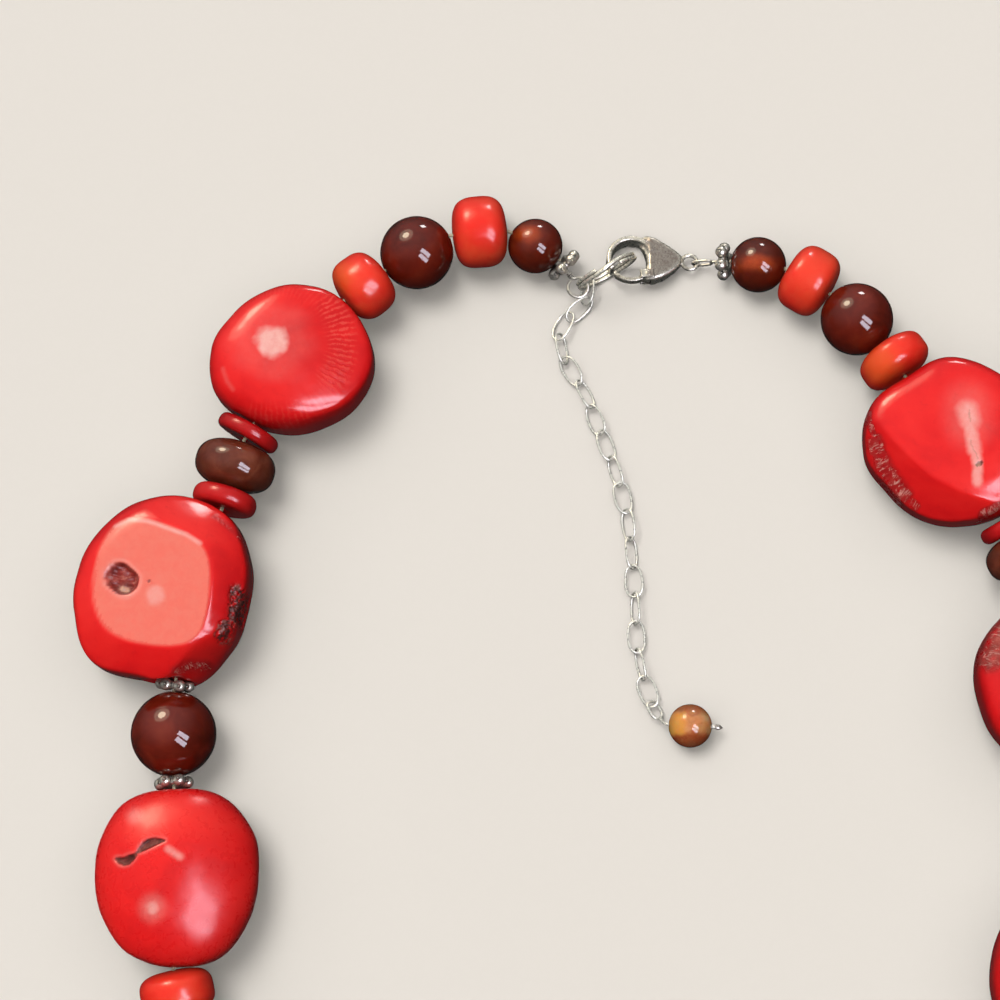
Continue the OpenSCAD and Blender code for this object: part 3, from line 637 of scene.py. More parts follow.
def daisy(node, at, turn, D=5.5, g=1.68):
    """Six granules soldered round a collar."""
    mid, t = at[0], at[1]
    rc = (D - g) / 2
    parts = [lathe([(-0.42, 0.72), (-0.5, 0.9), (-0.46, rc - 0.42), (-0.3, rc - 0.25), (0.3, rc - 0.25), (0.46, rc - 0.42), (0.5, 0.9), (0.42, 0.72)], 48)]
    for i in range(6):
        a = math.radians(60 * i + turn)
        c = np.array([0, rc * math.cos(a), rc * math.sin(a)])
        V, Q, T = ball(c, g / 2, 14)
        V = V + 0.03 * fbm(V * 1.3 + 3 * i, 2)[:, None] * unit(V - c)
        parts.append((V, Q, T))
    M = bead_frame(t)
    return piece(node + "_cast", [(turned(V, M, mid), Q, T) for V, Q, T in parts], SILVER_DARK, node)


# ---------------------------------------------------------------- nuggets
# outline: half widths every 30 degrees anticlockwise from the heading, then its middle along
# and left of the hole's middle, as built
A_L = [10.8, 10.5, 10.4, 11.1, 11.6, 11.1, 10.8, 10.4, 10.1, 10.3, 11.4, 11.9]
A_L_OFF = [0, -0.8]
B_L = [11.6, 12.7, 12.6, 11.7, 12.2, 13.0, 12.3, 12.6, 12.0, 12.1, 12.9, 14.3]
B_L_OFF = [0.3, -4.6]
C_L = [12.1, 12.5, 11.6, 11.4, 12.3, 12.8, 12.1, 12.4, 11.5, 10.8, 11.1, 12.0]
C_L_OFF = [0, 0.3]
D_L = [12.7, 12.7, 12.2, 11.6, 12.2, 12.8, 12.7, 12.6, 11.8, 11.5, 12.0, 12.6]
D_L_OFF = [0, -0.6]
A_R = [11.5, 12.3, 11.9, 11.6, 11.9, 12.5, 11.7, 12.9, 12.4, 11.0, 10.9, 10.9]
A_R_OFF = [0, -0.4]
B_R = [11.8, 12.7, 12.4, 11.8, 12.2, 12.7, 11.9, 12.3, 12.4, 12.0, 12.3, 12.6]
B_R_OFF = [0, -0.5]
C_R = [12.4, 12.4, 11.6, 11.2, 11.8, 12.5, 12.4, 12.4, 11.9, 11.6, 11.9, 12.4]
C_R_OFF = [0, 0.4]
D_R = [12.6, 12.6, 12.0, 11.8, 12.4, 12.8, 12.6, 12.4, 12.0, 11.7, 12.1, 12.6]
D_R_OFF = [0, -0.5]
E_C = [13.6, 13.3, 12.7, 12.3, 12.6, 13.2, 13.6, 13.4, 12.9, 12.6, 12.8, 13.3]


def outline(T, a):
    """Smooth closed outline through the table's half widths."""
    T = np.asarray(T)
    n = len(T)
    x = np.asarray(a) * n / (2 * math.pi) % n
    i = np.floor(x).astype(int)
    f = x - i
    p0, p1, p2, p3 = T[(i - 1) % n], T[i % n], T[(i + 1) % n], T[(i + 2) % n]
    s = f * f * (3 - 2 * f)
    cr = 0.5 * (2 * p1 + (p2 - p0) * f + (2 * p0 - 5 * p1 + 4 * p2 - p3) * f * f + (3 * p1 - p0 - 3 * p2 + p3) * f ** 3)
    return 0.5 * (p1 + (p2 - p1) * s) + 0.5 * cr


def polyline_distance(p, P):
    """Distance to a line through points, and how far along it is, from 0 to 1."""
    P = np.asarray(P, float)
    best = np.full(len(p), 1e9)
    along = np.zeros(len(p))
    if len(P) == 1:
        return np.linalg.norm(p - P[0], axis=1), along
    for i in range(len(P) - 1):
        a, d = P[i], P[i + 1] - P[i]
        t = np.clip(((p - a) @ d) / d.dot(d), 0, 1)
        q = np.linalg.norm(p - a - t[:, None] * d, axis=1)
        m = q < best
        best[m] = q[m]
        along[m] = (i + t[m]) / (len(P) - 1)
    return best, along


def nugget(node, at, L, head, T, off, thick, full, seed, crown=(60, 60, 0, 0), drop=0.0, edge=1.0, heart=(0, 0), cuts=(),
           ground=None, pits=(), cracks=(), patches=(), rays=(), nu=120, nv=90, lump=0.10, seat=3.1, mat=None):
    """A tumbled, polished piece of coral branch, drilled across.
    crown: radii of the top along and across, and where its highest point lies
    cuts: flats (normal x, y, z, distance from the middle, rounding of their edges)
    ground: a face on top (its plane z0, rise along, rise across; rounding and slope of its edge; how matt, which also
    sets how much paler it is painted as a sheen; outline)
    seat: how far round the hole the ends are flat
    pits: hollows in the top (x, y, half sizes along and across, depth, turn, brown, painted highlight on the rim)
    cracks: (radius, lobes, depth, brown, points); each gets a painted highlight along its rim
    patches: (radius, milky, chalky, brown, relief, softness, points); the milky column paints both milky spots and
    highlights
    rays: growth lines (from, to radius, middle angle, half angle, strength) about the heart"""
    mid, t = np.asarray(at[0], float), at[1]
    H = thick / 2
    s62 = math.sin(math.radians(62)) ** full
    e_ = 2 / full
    M = rot("z", head)
    tl = M.T @ t                                   # the hole's line in the nugget's frame

    def flats(q):
        return [(q @ unit([nx, ny, nz]) - dist, k) for nx, ny, nz, dist, k in cuts]

    if ground is not None:
        plane, bevel, steep, matt_and_sheen, pts = ground
        G_ = spline([(x, y, 0) for x, y in pts], 6, closed=True)[:, :2]
        gc = G_.mean(0)
        ga = np.arctan2(G_[:, 1] - gc[1], G_[:, 0] - gc[0])
        gr = np.hypot(G_[:, 0] - gc[0], G_[:, 1] - gc[1])[np.argsort(ga)]
        ga = np.sort(ga)

    def beside(p):
        """How far outside the ground face's outline each point is, seen from above."""
        v = p[:, :2] - gc
        return np.hypot(v[:, 0], v[:, 1]) - np.interp(np.arctan2(v[:, 1], v[:, 0]), ga, gr, period=2 * math.pi)

    def field(p):
        q = p - np.array([off[0], off[1], H])
        r = np.hypot(q[:, 0], q[:, 1])
        o = outline(T, np.arctan2(q[:, 1], q[:, 0]))
        val = ((r / o) ** e_ + (np.abs(q[:, 2]) * s62 / H) ** e_) ** (1 / e_)
        d = (val - 1) * 9.0
        top = q[:, 2] - (H - drop - (q[:, 0] - crown[2]) ** 2 / (2 * crown[0]) - (q[:, 1] - crown[3]) ** 2 / (2 * crown[1]))
        d = smax(d, top, edge)
        for f, k in flats(q):
            d = smax(d, f, k)
        if ground is not None:
            sd = np.maximum(beside(p), 0)
            s1 = steep * bevel
            fall = np.where(sd < s1, sd ** 2 / (2 * bevel), s1 * s1 / (2 * bevel) + (sd - s1) * steep + (sd - s1) ** 2 / 30)
            d = smax(d, p[:, 2] - plane[0] - plane[1] * p[:, 0] - plane[2] * p[:, 1] + fall, 0.25)
        # the ends are flat round the hole, so that the next bead sits close
        w = p - np.array([0, 0, mid[2]])
        s_ = w @ tl
        rho = np.linalg.norm(w - s_[:, None] * tl, axis=1)
        d = smax(d, np.abs(s_) - L / 2 - 0.06 - np.maximum(rho - seat, 0) * 1.1, 0.25)
        return smax(d, -q[:, 2] - H, 0.3)

    def hollows(p):
        """How far each point is pressed down, how brown the hollows are, and the painted highlight on their rims."""
        down, brown, painted_rim_glint = np.zeros(len(p)), np.zeros(len(p)), np.zeros(len(p))
        flat = p * [1, 1, 0]
        for x, y, rx, ry, depth, turn, b, rim_glint in pits:
            v = (flat - [x, y, 0]) @ rot("z", turn)
            e = (np.abs(v[:, 0] / rx) ** 2.7 + np.abs(v[:, 1] / ry) ** 2.7) ** (1 / 2.7) + 0.10 * fbm(flat / (0.8 * min(rx, ry)) + seed, 2)
            down = np.maximum(down, depth * smooth(1.06, 0.72, e) * (0.8 + 0.45 * fbm(p / 0.6 + seed, 2)))
            brown = np.maximum(brown, b * smooth(1.04, 0.92, e))
            # painted highlight round the pit's rim
            painted_rim_glint = np.maximum(painted_rim_glint, rim_glint * np.exp(-((e - 1.12) / 0.12) ** 2))
        for rad, lobes, depth, b, pts in cracks:
            w = flat + 0.22 * np.stack([fbm(p / 1.1 + 5, 2), fbm(p / 1.1 + 9, 2), 0 * p[:, 0]], -1)
            q, al = polyline_distance(w * [1, 1, 0], [[x, y, 0] for x, y in pts])
            r = rad * (0.28 + 0.8 * np.abs(np.sin(math.pi * lobes * np.clip(al, 0.02, 0.98))) ** 0.8)
            e = q / r
            down = np.maximum(down, depth * smooth(1.15, 0.55, e) * (r / rad))
            brown = np.maximum(brown, b * smooth(1.15, 0.75, e))
            # painted highlight along the crack's rim
            painted_rim_glint = np.maximum(painted_rim_glint, 0.16 * np.exp(-((q - r - 0.15) / 0.25) ** 2))
        up = p[:, 2] > 0.62 * thick
        return down * up, brown * up, painted_rim_glint * up

    # rays from the middle of the hole; their rings stand round the hole's line
    a0 = math.atan(HOLE / (0.46 * L))
    al = np.linspace(a0, math.pi - a0, nv)
    ph = np.linspace(0, 2 * math.pi, nu, endpoint=False)
    ex = tl
    ey = unit(np.cross([0, 0, 1], ex))
    ez = np.cross(ex, ey)
    A, B = np.meshgrid(al, ph, indexing="ij")
    Dv = (np.cos(A)[..., None] * ex + (np.sin(A) * np.cos(B))[..., None] * ey + (np.sin(A) * np.sin(B))[..., None] * ez).reshape(-1, 3)
    o = np.array([0, 0, mid[2]])
    lo, hi = np.full(len(Dv), 2.0), np.full(len(Dv), 21.0)
    for _ in range(22):
        m_ = (lo + hi) / 2
        d = field(o + Dv * m_[:, None])
        lo, hi = np.where(d < 0, m_, lo), np.where(d < 0, hi, m_)
    R0 = (lo + hi) / 2
    S = o + Dv * R0[:, None]
    press, brown, milky_and_glint = hollows(S)
    chalk = brown * 0.3
    disp = -lump * (0.35 - fbm(S / 5.5 + seed, 2))
    # patches: their milky part paints both milky spots and highlights
    for r, mi, ch, br, rel, soft, pts in patches:
        low = min(q[2] for q in pts) - 3.5
        e, _ = polyline_distance(S * [1, 1, 0], [[x, y, 0] for x, y, z in pts])
        e = e + 0.35 * r * (1.15 - soft) * fbm(S / (0.5 * r + 0.2) + 3 * seed, 2) + np.maximum(low - S[:, 2], 0)
        m_ = smooth(r, (1 - soft) * r, e)
        milky_and_glint = np.maximum(milky_and_glint, mi * m_)
        chalk = np.maximum(chalk, ch * m_)
        brown = np.maximum(brown, br * m_ * smooth(-0.3, 0.05, fbm(S / 0.8 + seed, 3)))
        disp = disp - rel * m_ * (0.3 + 1.0 * np.abs(fbm(S / 0.8 + 2 * seed, 3)))
    lines = np.zeros(len(S))
    hv = S[:, :2] - np.asarray(heart)
    hr, ha = np.hypot(hv[:, 0], hv[:, 1]), np.degrees(np.arctan2(hv[:, 1], hv[:, 0]))
    for r0, r1, am, ah, k in rays:
        da = np.abs((ha - am + 180) % 360 - 180)
        wob = 0.8 * fbm(S / 1.6 + seed, 2)
        lines = np.maximum(lines, k * smooth(ah, 0.75 * ah, da) * smooth(r0 - 0.4, r0 + 1.2, hr + wob) * smooth(r1 + 0.5, r1 - 0.9, hr + wob))
    # the matt ground face, which is also painted paler there as a sheen
    matt_face_sheen = np.zeros(len(S))
    if ground is not None:
        matt_face_sheen = matt_and_sheen * smooth(0.45, -0.25, beside(S)) * (S[:, 2] > 0.8 * thick)
    keep = smooth(0.0, 0.25, np.abs(np.sin(np.repeat(al, nu))) * R0 - HOLE)
    S = S + Dv * np.minimum(disp, 0)[:, None] * keep[:, None]
    S[:, 2] -= press
    S[:, 2] = np.maximum(S[:, 2], 0.0)
    rings = S.reshape(nv, nu, 3)
    circle = HOLE * (np.cos(ph)[:, None] * ey + np.sin(ph)[:, None] * ez)
    c0, c1 = rings[0].mean(0), rings[-1].mean(0)
    inner = np.stack([c1 + ex * 0.25 + circle * 0.95, c1 + ex * 0.9 + circle * 0.85, c0 - ex * 0.9 + circle * 0.85, c0 - ex * 0.25 + circle * 0.95])
    G = np.concatenate([rings, inner]).reshape(-1, 3)
    pad = lambda x, v=0.0: np.concatenate([x, np.full(4 * nu, v)])
    # first channel: milky spots and painted highlights
    wear_and_glints = np.stack([pad(milky_and_glint), pad(brown, 0.5), pad(chalk, 0.5), pad(lines)], -1)
    face = np.zeros((len(G), 4))
    face[:, 0] = pad(matt_face_sheen)
    loc = G - np.array([heart[0], heart[1], 0])
    W = turned(G, M, [mid[0], mid[1], 0])
    return piece(node + "_stone", [(W, grid_faces(nv + 4, nu, True), np.zeros((0, 3), int))], mat or CORAL, node, attrs=marks(len(G), wear_and_glints, face, loc))


# radius, milky (milky spots and painted highlights), chalky, brown, relief, softness, points: coordinates along the
# heading, to its left, and up
NUGGETS = {
    "left_nugget_a": dict(
        T=A_L, off=A_L_OFF, thick=13, full=0.55, seed=2, crown=(60, 64, 7.0, -9.2), drop=-1.05, edge=0.9, heart=(0.3, -3.2), nu=250, nv=190, lump=0.08,
        # the pale spot on its top, the faint halo round it and the pale crescent on its lower edge are painted
        # highlights
        patches=[(2.9, 1.0, 0, 0, 0, 0.5, [(0.3, -3.2, 13)]), (7.2, 0.10, 0, 0, 0, 0.5, [(0.3, -3.2, 13)]),
                 (0.5, 0.12, 0, 0, 0, 0.9, [(7.3, -6.8, 12), (8.4, -5.3, 12), (8.9, -3.9, 12)])],
        rays=[(7.4, 11.6, 127, 48, 0.75), (8.6, 12.0, 50, 40, 0.25), (6.5, 11.0, -150, 60, 0.15)]),
    "left_nugget_b": dict(
        T=[13.2, 14.1, 12.7, 11.75, 12.3, 13.2, 12.9, 12.4, 11.9, 12.1, 12.9, 14.4], off=B_L_OFF, thick=14, full=0.55, seed=5,
        crown=(90, 90, 1.4, -0.8), drop=-1.5, edge=1.8, heart=(2.6, -4.7), nu=310, nv=250, lump=0.06,
        ground=((13.85, -0.03, 0.02), 1.5, 0.55, 1.0, [(-7.4, -9.6), (-6.8, -11.4), (-5.5, -12.7), (-3.7, -13.4), (-1.3, -13.7), (2.1, -13.4), (4.9, -12.6), (7.1, -11.2), (8.4, -9.4),
                                                       (9.0, -6.5), (8.8, -2.9), (8.2, -0.3), (7.2, 1.6), (5.3, 2.7), (2.3, 2.7), (-1.0, 2.2), (-3.8, 1.3),
                                                       (-5.5, 0.1), (-6.6, -1.9), (-7.2, -4.6), (-7.5, -7.4)]),
        cuts=[(0.62, 0.62, 0.48, 12.2, 1.4)],
        pits=[(1.2, -9.6, 2.0, 2.3, 1.5, -28, 0.8, 0.3), (0.6, -5.9, 0.24, 0.24, 0.25, 0, 1.0, 0)],
        # the pale patch over the pit paints light on its floor, and the pale line along the ground face's top edge is a
        # painted highlight
        patches=[(1.8, 0.5, 0, 0, 0, 0.6, [(2.3, -4.6, 14)]), (1.35, 0.95, 0, 0, 0, 1.0, [(2.4, -9.4, 14), (2.5, -8.7, 14)]),
                 (0.55, 0.7, 0, 0, 0, 1.0, [(-5.7, -12.5, 13), (-7.0, -10.9, 13), (-7.4, -8.2, 13), (-7.1, -5.6, 13), (-6.8, -2.5, 13), (-6.1, -0.4, 13)]),
                 (0.7, 0, 0.75, 0, 0.12, 1.0, [(-10.6, 0.2, 10), (-9.9, 1.9, 10), (-8.9, 3.7, 9.6), (-8.0, 5.2, 9)]),
                 (1.7, 0, 0.6, 0.2, 0.25, 0.9, [(-1.0, 5.9, 11), (0.9, 6.4, 11), (3.2, 6.5, 10)]),
                 (1.35, 0, 0.3, 1.0, 0.45, 0.5, [(-1.0, 6.1, 11), (0.8, 6.6, 11), (2.4, 6.8, 10)]),
                 (1.25, 0, 0.4, 1.0, 0.35, 0.5, [(4.1, 5.8, 10.6), (5.5, 5.6, 10)]),
                 (1.2, 0, 0.95, 0, 0.14, 1.0, [(11.6, 0.6, 9), (10.3, 2.2, 9), (9.6, 4.2, 8.6)])]),
    "left_nugget_c": dict(
        T=C_L, off=C_L_OFF, mat=CORAL_SOFT, thick=15, full=0.75, seed=9, crown=(26, 13, 0.5, -0.6), edge=2.2, heart=(4.5, -1.9), nu=240, nv=180, lump=0.12,
        cracks=[(0.58, 2, 0.6, 1.0, [(-2.5, -6.9), (-2.1, -6.1), (-2.2, -5.2), (-2.8, -4.3), (-3.5, -3.5), (-4.2, -2.6), (-4.6, -1.4), (-4.7, -0.3)])],
        # all pale patches here are painted highlights: the soft patch at (-8.2, -4.5), the spot on the top with its
        # halo, and the streak by the crack
        patches=[(1.9, 0.35, 0, 0, 0, 0.98, [(-8.2, -4.5, 12.5)]), (1.5, 0.7, 0, 0, 0, 0.8, [(4.3, -1.7, 15)]), (2.8, 0.3, 0, 0, 0, 0.9, [(4.3, -1.7, 15)]),
                 (0.85, 0.6, 0, 0, 0, 1.0, [(-3.6, 0.4, 14.6), (-2.5, 2.0, 14.8)])]),
    "left_nugget_d": dict(T=D_L, off=D_L_OFF, thick=14, full=0.65, seed=14, crown=(40, 36, -0.5, 0.6), edge=1.4, heart=(-1.5, 1.0),
                          patches=[(2.0, 0.7, 0, 0, 0, 0.4, [(-1.5, 1.0, 14)]), (0.9, 0, 0.9, 0.4, 0.1, 0.5, [(6.0, -9.5, 8), (9.0, -6.5, 8)])],
                          rays=[(6, 11, 60, 60, 0.5)]),
    "right_nugget_a": dict(
        T=A_R, off=A_R_OFF, thick=13, full=0.55, seed=21, crown=(60, 56, 0.2, 1.2), edge=0.8, heart=(-2.4, 2.7), nu=250, nv=200, lump=0.07,
        ground=((12.7, 0, 0), 1.0, 0.85, 0.0, [(-12.2, -4.6), (-9.3, -6.1), (-6.0, -6.6), (-2.5, -6.5), (0.4, -6.1), (3.0, -5.3), (6.8, -3.0), (9.1, -0.2), (10.4, 3.5),
                                               (9.6, 8.0), (5.5, 11.2), (0, 12.0), (-5.5, 11.6), (-10, 8.5), (-12.6, 3.5), (-13.2, -1.0)]),
        pits=[(4.4, -0.1, 0.30, 0.55, 0.3, 0, 1.0, 0)],
        cracks=[(0.09, 1.5, 0.10, 0.35, [(0.9, 0.9), (2.4, 0.4), (3.6, 0.1)]), (0.12, 1, 0.12, 0.4, [(-2.6, 3.2), (-1.2, 2.3)])],
        # the pale teardrop on the top and the faint halo round it are painted highlights
        patches=[(2.6, 0.8, 0, 0, 0, 0.95, [(-2.6, 3.0, 13), (-1.4, 2.4, 13)]), (1.5, 0.75, 0, 0, 0, 0.8, [(-1.2, 2.2, 13), (2.4, 0.5, 13)]),
                 (1.05, 0.75, 0, 0, 0, 0.75, [(2.1, 0.8, 13), (4.4, -0.4, 13), (6.3, -1.8, 13)]),
                 (5.0, 0.18, 0, 0, 0, 1.0, [(-3.2, 3.4, 13), (-1.0, 2.0, 13)]),
                 (0.5, 0, 0.9, 0.1, 0.12, 0.5, [(-10.4, -7.8, 9), (-9.2, -8.7, 9), (-7.4, -9.2, 8.7)]),
                 (1.5, 0, 0.9, 0.2, 0.18, 0.6, [(-6.4, -9.7, 8), (-4.6, -10.2, 7.8), (-2.3, -10.6, 7.8), (0.0, -10.6, 7.8), (1.9, -10.4, 7.8)]),
                 (0.7, 0, 0.8, 0.1, 0.12, 0.5, [(2.2, -10.4, 8), (4.1, -9.9, 8)]),
                 (0.8, 0, 1.0, 0.1, 0.1, 0.5, [(10.2, -3.4, 9.5), (10.6, -1.0, 9.5)])]),
    "right_nugget_b": dict(T=B_R, off=B_R_OFF, thick=14, full=0.6, seed=27, crown=(36, 40, 0, 1.5), edge=1.4, heart=(1.0, 2.0),
                           patches=[(2.2, 0, 0.9, 0.6, 0.2, 0.6, [(-9.6, -7.4, 9), (-7.2, -9.2, 9), (-4.6, -10.4, 8.6)])], rays=[(6, 11, -90, 60, 0.3)]),
    "right_nugget_c": dict(T=C_R, off=C_R_OFF, thick=15, full=0.7, seed=33, crown=(26, 24, 0, 0), edge=1.8, heart=(-2, 1.5),
                           pits=[(3.5, -3.0, 0.9, 0.6, 0.5, 30, 0.9, 0.4)], patches=[(2.0, 0.6, 0, 0, 0, 0.7, [(-2.0, 1.5, 15)])]),
    "right_nugget_d": dict(T=D_R, off=D_R_OFF, thick=14, full=0.6, seed=38, crown=(44, 44, 0.5, -0.5), edge=1.3, heart=(0.5, -1.5),
                           patches=[(1.8, 0.8, 0, 0, 0, 0.4, [(0.5, -1.5, 14)]), (1.2, 0, 0.9, 0.3, 0.15, 0.5, [(8.4, 6.0, 9), (9.6, 3.2, 9)])], rays=[(6, 11, 180, 70, 0.6)]),
    "centre_nugget": dict(T=E_C, off=(0, 0), thick=14, full=0.6, seed=44, crown=(50, 42, 0, 0), edge=1.4, heart=(-1.0, 0.5),
                          patches=[(2.3, 0.8, 0, 0, 0, 0.35, [(-1.0, 0.5, 14)]), (0.9, 0, 0.8, 0.6, 0.15, 0.5, [(9.0, -6.5, 9), (6.0, -9.0, 9)])],
                          pits=[(4.6, 3.2, 0.8, 1.0, 0.6, 20, 0.9, 0.5)], rays=[(7, 12, 40, 70, 0.6)]),
}

# ---------------------------------------------------------------- strands
for side, table, B in (("left", LEFT, BL), ("right", RIGHT, BR)):
    for i, (kind, nm, row, at) in enumerate(zip(KIND, NAME, table, B)):
        node = side + "_" + nm
        L, head, _, D, full, _ = row
        seed = i + (0 if side == "left" else 50)
        if kind == "spacer":
            daisy(node, at, 0)
        elif kind == "nugget":
            k = dict(NUGGETS[node])
            nugget(node, at, L, head, **k)
        elif kind == "coral":
            round_bead(node, at, L, D, full, CORAL_BRIGHT, seed, lump=0.16, scale=4.5,
                       orange={"left_coral_2": (-3.4, 0.4, 3.4, 3.6), "right_coral_2": (-2.4, -1.6, 3.4, 4.4)}.get(node))
        elif kind == "disc":
            round_bead(node, at, L, D, full, CORAL_DISC, seed, lump=0.10, scale=3.0)
        elif kind == "rondelle":
            round_bead(node, at, L, D, full, STONE_BROWN, seed, lump=0.05)
        else:
            round_bead(node, at, L, D, full, STONE_WARM if nm == "carnelian_1" else STONE, seed, lump=0.03, m=80, n=60,
                       painted_glow={"left_carnelian_1": (-1.0, 1.0, 2.4, 2.2), "right_carnelian_1": (-0.4, -0.6, 4.0, 1.7)}.get(node))

k = dict(NUGGETS["centre_nugget"])
e0, e1 = np.array(E0), np.array(E1)
E_LEN = float(np.hypot(*(e1 - e0)[:2]))
E_HEAD = math.degrees(math.atan2(e1[1] - e0[1], e1[0] - e0[0]))
k["T"] = [v * (E_LEN - 0.2) / 27.2 for v in E_C]
nugget("centre_nugget", ((e0 + e1) / 2, unit(e1 - e0), None, None), E_LEN, E_HEAD, **k)

# ---------------------------------------------------------------- metal
# thread: one cord through every bead, ending inside the first bead on each side
route = [b[3] for b in BL] + [b[3] for b in BR][::-1]
fine = []
for a, b in zip(route[:-1], route[1:]):
    n = max(int(np.linalg.norm(b - a) / 0.8), 2)
    fine += [a + (b - a) * x for x in np.linspace(0, 1, n, endpoint=False)]
fine = np.array(fine + [route[-1]])
for _ in range(2):
    fine[1:-1] = (fine[:-2] + 2 * fine[1:-1] + fine[2:]) / 4
piece("thread_cord", [sweep(fine, 0.25, 10)], THREAD, "thread")

# extender chain: middle x, y, z, heading, roll, dip of each link
LINK_A, LINK_B, LINK_R = 2.25, 1.2, 0.165
CHAIN = [
    [-1.58, 77.8,  1.43,  -97,  44, 1],
    [-2.8,  74.9,  1.2,  -137, -35, 0],
    [-5.1,  72.5,  1.1,  -118,  25, 0],
    [-5.3,  69.1,  1.3,   -80, -56, 0],
    [-4.0,  65.9,  1.1,   -60,  28, 0],
    [-2.0,  62.5,  1.2,   -63, -50, 0],
    [-0.6,  58.8,  1.1,   -68,  34, 0],
    [ 0.9,  55.1,  1.1,   -71, -30, 0],
    [ 2.2,  51.3,  1.3,   -72,  55, 0],
    [ 3.25, 47.5,  1.1,   -77, -14, 0],
    [ 3.95, 43.6,  1.2,   -83,  48, 0],
    [ 4.35, 39.6,  1.2,   -85, -52, 0],
    [ 4.65, 35.6,  1.1,   -86,   8, 0],
    [ 4.85, 31.7,  1.35,  -88,  64, 0],
    [ 5.0,  27.7,  1.1,   -87, -14, 0],
    [ 5.5,  23.8,  1.35,  -78,  68, 0],
    [ 6.5,  20.0,  1.15,  -70,   4, 0]
]
links = []
for i, (x, y, z, head, roll, dip) in enumerate(CHAIN):
    t = np.linspace(0, 2 * math.pi, 56, endpoint=False)
    c, s = np.cos(t), np.sin(t)
    e = 0.86
    P = np.stack([LINK_A * np.sign(c) * np.abs(c) ** e, LINK_B * np.sign(s) * np.abs(s) ** e, 0 * t], 1)
    P[:, 1] += 0.05 * np.sin(t * 2 + i)                      # each link is a little uneven
    M = rot("z", head) @ rot("y", dip) @ rot("x", roll)
    links.append(sweep(turned(P, M, (x, y, z)), LINK_R * (1 + 0.10 * np.sin(3 * t + 2 * i)), 10, closed=True))
piece("extender_chain_links", links, SILVER_CHAIN, "extender_chain")

# heavy ring: a wire wound twice, stepping up once
t = np.radians(np.linspace(26, 694, 200))
step = -0.288 + 0.576 * smooth(math.radians(330), math.radians(390), t)
P = np.stack([4.4 * np.cos(t), 4.4 * np.sin(t), step], 1)
P = turned(P, rot("z", 90), (0, 0, 0))
M = rot("z", 28.4) @ rot("x", 96)
piece("heavy_ring_wire", [sweep(turned(P, M, (1.1, 79.6, 4.72)), 0.3, 16)], SILVER_RING, "heavy_ring")

# eye at the left strand's end: a wire bent round and wrapped on itself
pl0 = np.array(LEFT_START)
d134 = np.array([math.cos(math.radians(134)), math.sin(math.radians(134)), 0])
eye_c = np.array([-2.93, 77.65, 3.15])
stem = pl0 + 0.9 * d134 + [0, 0, 0.25]
to = unit((stem - eye_c) * [1, 1, 0])
a_in = math.degrees(math.atan2(to[1], to[0]))
t = np.radians(np.linspace(a_in + 16, a_in + 344, 60))
P = np.stack([eye_c[0] + 1.43 * np.cos(t), eye_c[1] + 1.43 * np.sin(t), eye_c[2] + 0.10 * np.sin(t * 2)], 1)
P = np.concatenate([P, spline([P[-1], eye_c + to * 1.75, stem], 8)[1:]])
w = np.linspace(0, 2.5 * 2 * math.pi, 44)
ax = unit(stem - (eye_c + to * 1.4))
s1 = unit(np.cross(ax, [0, 0, 1]))
s2 = np.cross(ax, s1)
wrap = (eye_c + to * 1.72) + ax * (w[:, None] / w[-1]) * 0.75 + 0.34 * (np.cos(w)[:, None] * s1 + np.sin(w)[:, None] * s2)
piece("left_end_loop_wire", [sweep(P, 0.225, 12), sweep(wrap, 0.13, 8)], SILVER_DARK, "left_end_loop")

# doubled wire from the clasp's tail to the right strand
a, b = np.array([14.5, 81.4, 1.8]), np.array([17.7, 81.35, 3.0])
v = b - a
ln = np.linalg.norm(v)
M = rot("z", math.degrees(math.atan2(v[1], v[0]))) @ rot("y", -math.degrees(math.asin(v[2] / ln)))
t = np.linspace(0, 2 * math.pi, 60, endpoint=False)
rl = (1.6 - 0.38) / 2
P = np.stack([np.clip(np.cos(t), -1, 1) * rl + np.where(np.cos(t) > 0, 1, -1) * (1.6 - 0.8) * smooth(0, 0.12, np.abs(np.cos(t))) + 0.35, np.sin(t) * rl, 0 * t], 1)
P = turned(P - [0.35, 0, 0], rot("x", 75)) + [0.35, 0, 0]
loop = turned(P, M, a)
rod = np.array([a + (v / ln) * x for x in np.linspace(1.7, ln, 8)])
piece("right_end_loop_wire", [sweep(loop, 0.19, 10, closed=True), sweep(rod, 0.21, 10)], SILVER_DARK, "right_end_loop")

# head pin: eye hooked in the last link, shank through the end bead, flattened head
end_at = np.array([12.3, 15.0, 3.0])
end_d = np.array([math.cos(math.radians(-3)), math.sin(math.radians(-3)), 0])
eye = np.array([7.45, 17.4, 1.25])
t = np.radians(np.linspace(4, 356, 50))
ring = np.stack([1.35 * np.cos(t), 1.35 * np.sin(t) * (0.75 + 0.25 * np.cos(t) ** 2), 0 * t], 1)
ring = turned(ring, rot("z", -60) @ rot("x", -42), eye)
neck = spline([end_at + end_d * 2.0, end_at - end_d * 2.6, end_at - end_d * 3.35 + [0, 0.15, -0.1], [8.45, 15.75, 2.1], ring[0]], 10)
tail = spline([ring[-1], [8.35, 16.0, 1.75], [8.62, 15.7, 2.3]], 6)[1:]
shank = np.array([end_at + end_d * x for x in np.linspace(-2.8, 3.3, 10)])
head_pts = np.array([end_at + end_d * 3.2, end_at + end_d * 3.6, end_at + end_d * 4.0 + [0, 0, -0.12], end_at + end_d * 4.35 + [0, -0.03, -0.3]])
head = sweep(spline(head_pts, 6), np.interp(np.linspace(0, 1, 19), [0, 0.3, 0.65, 1], [0.23, 0.34, 0.40, 0.16]), 14, flat=0.55)
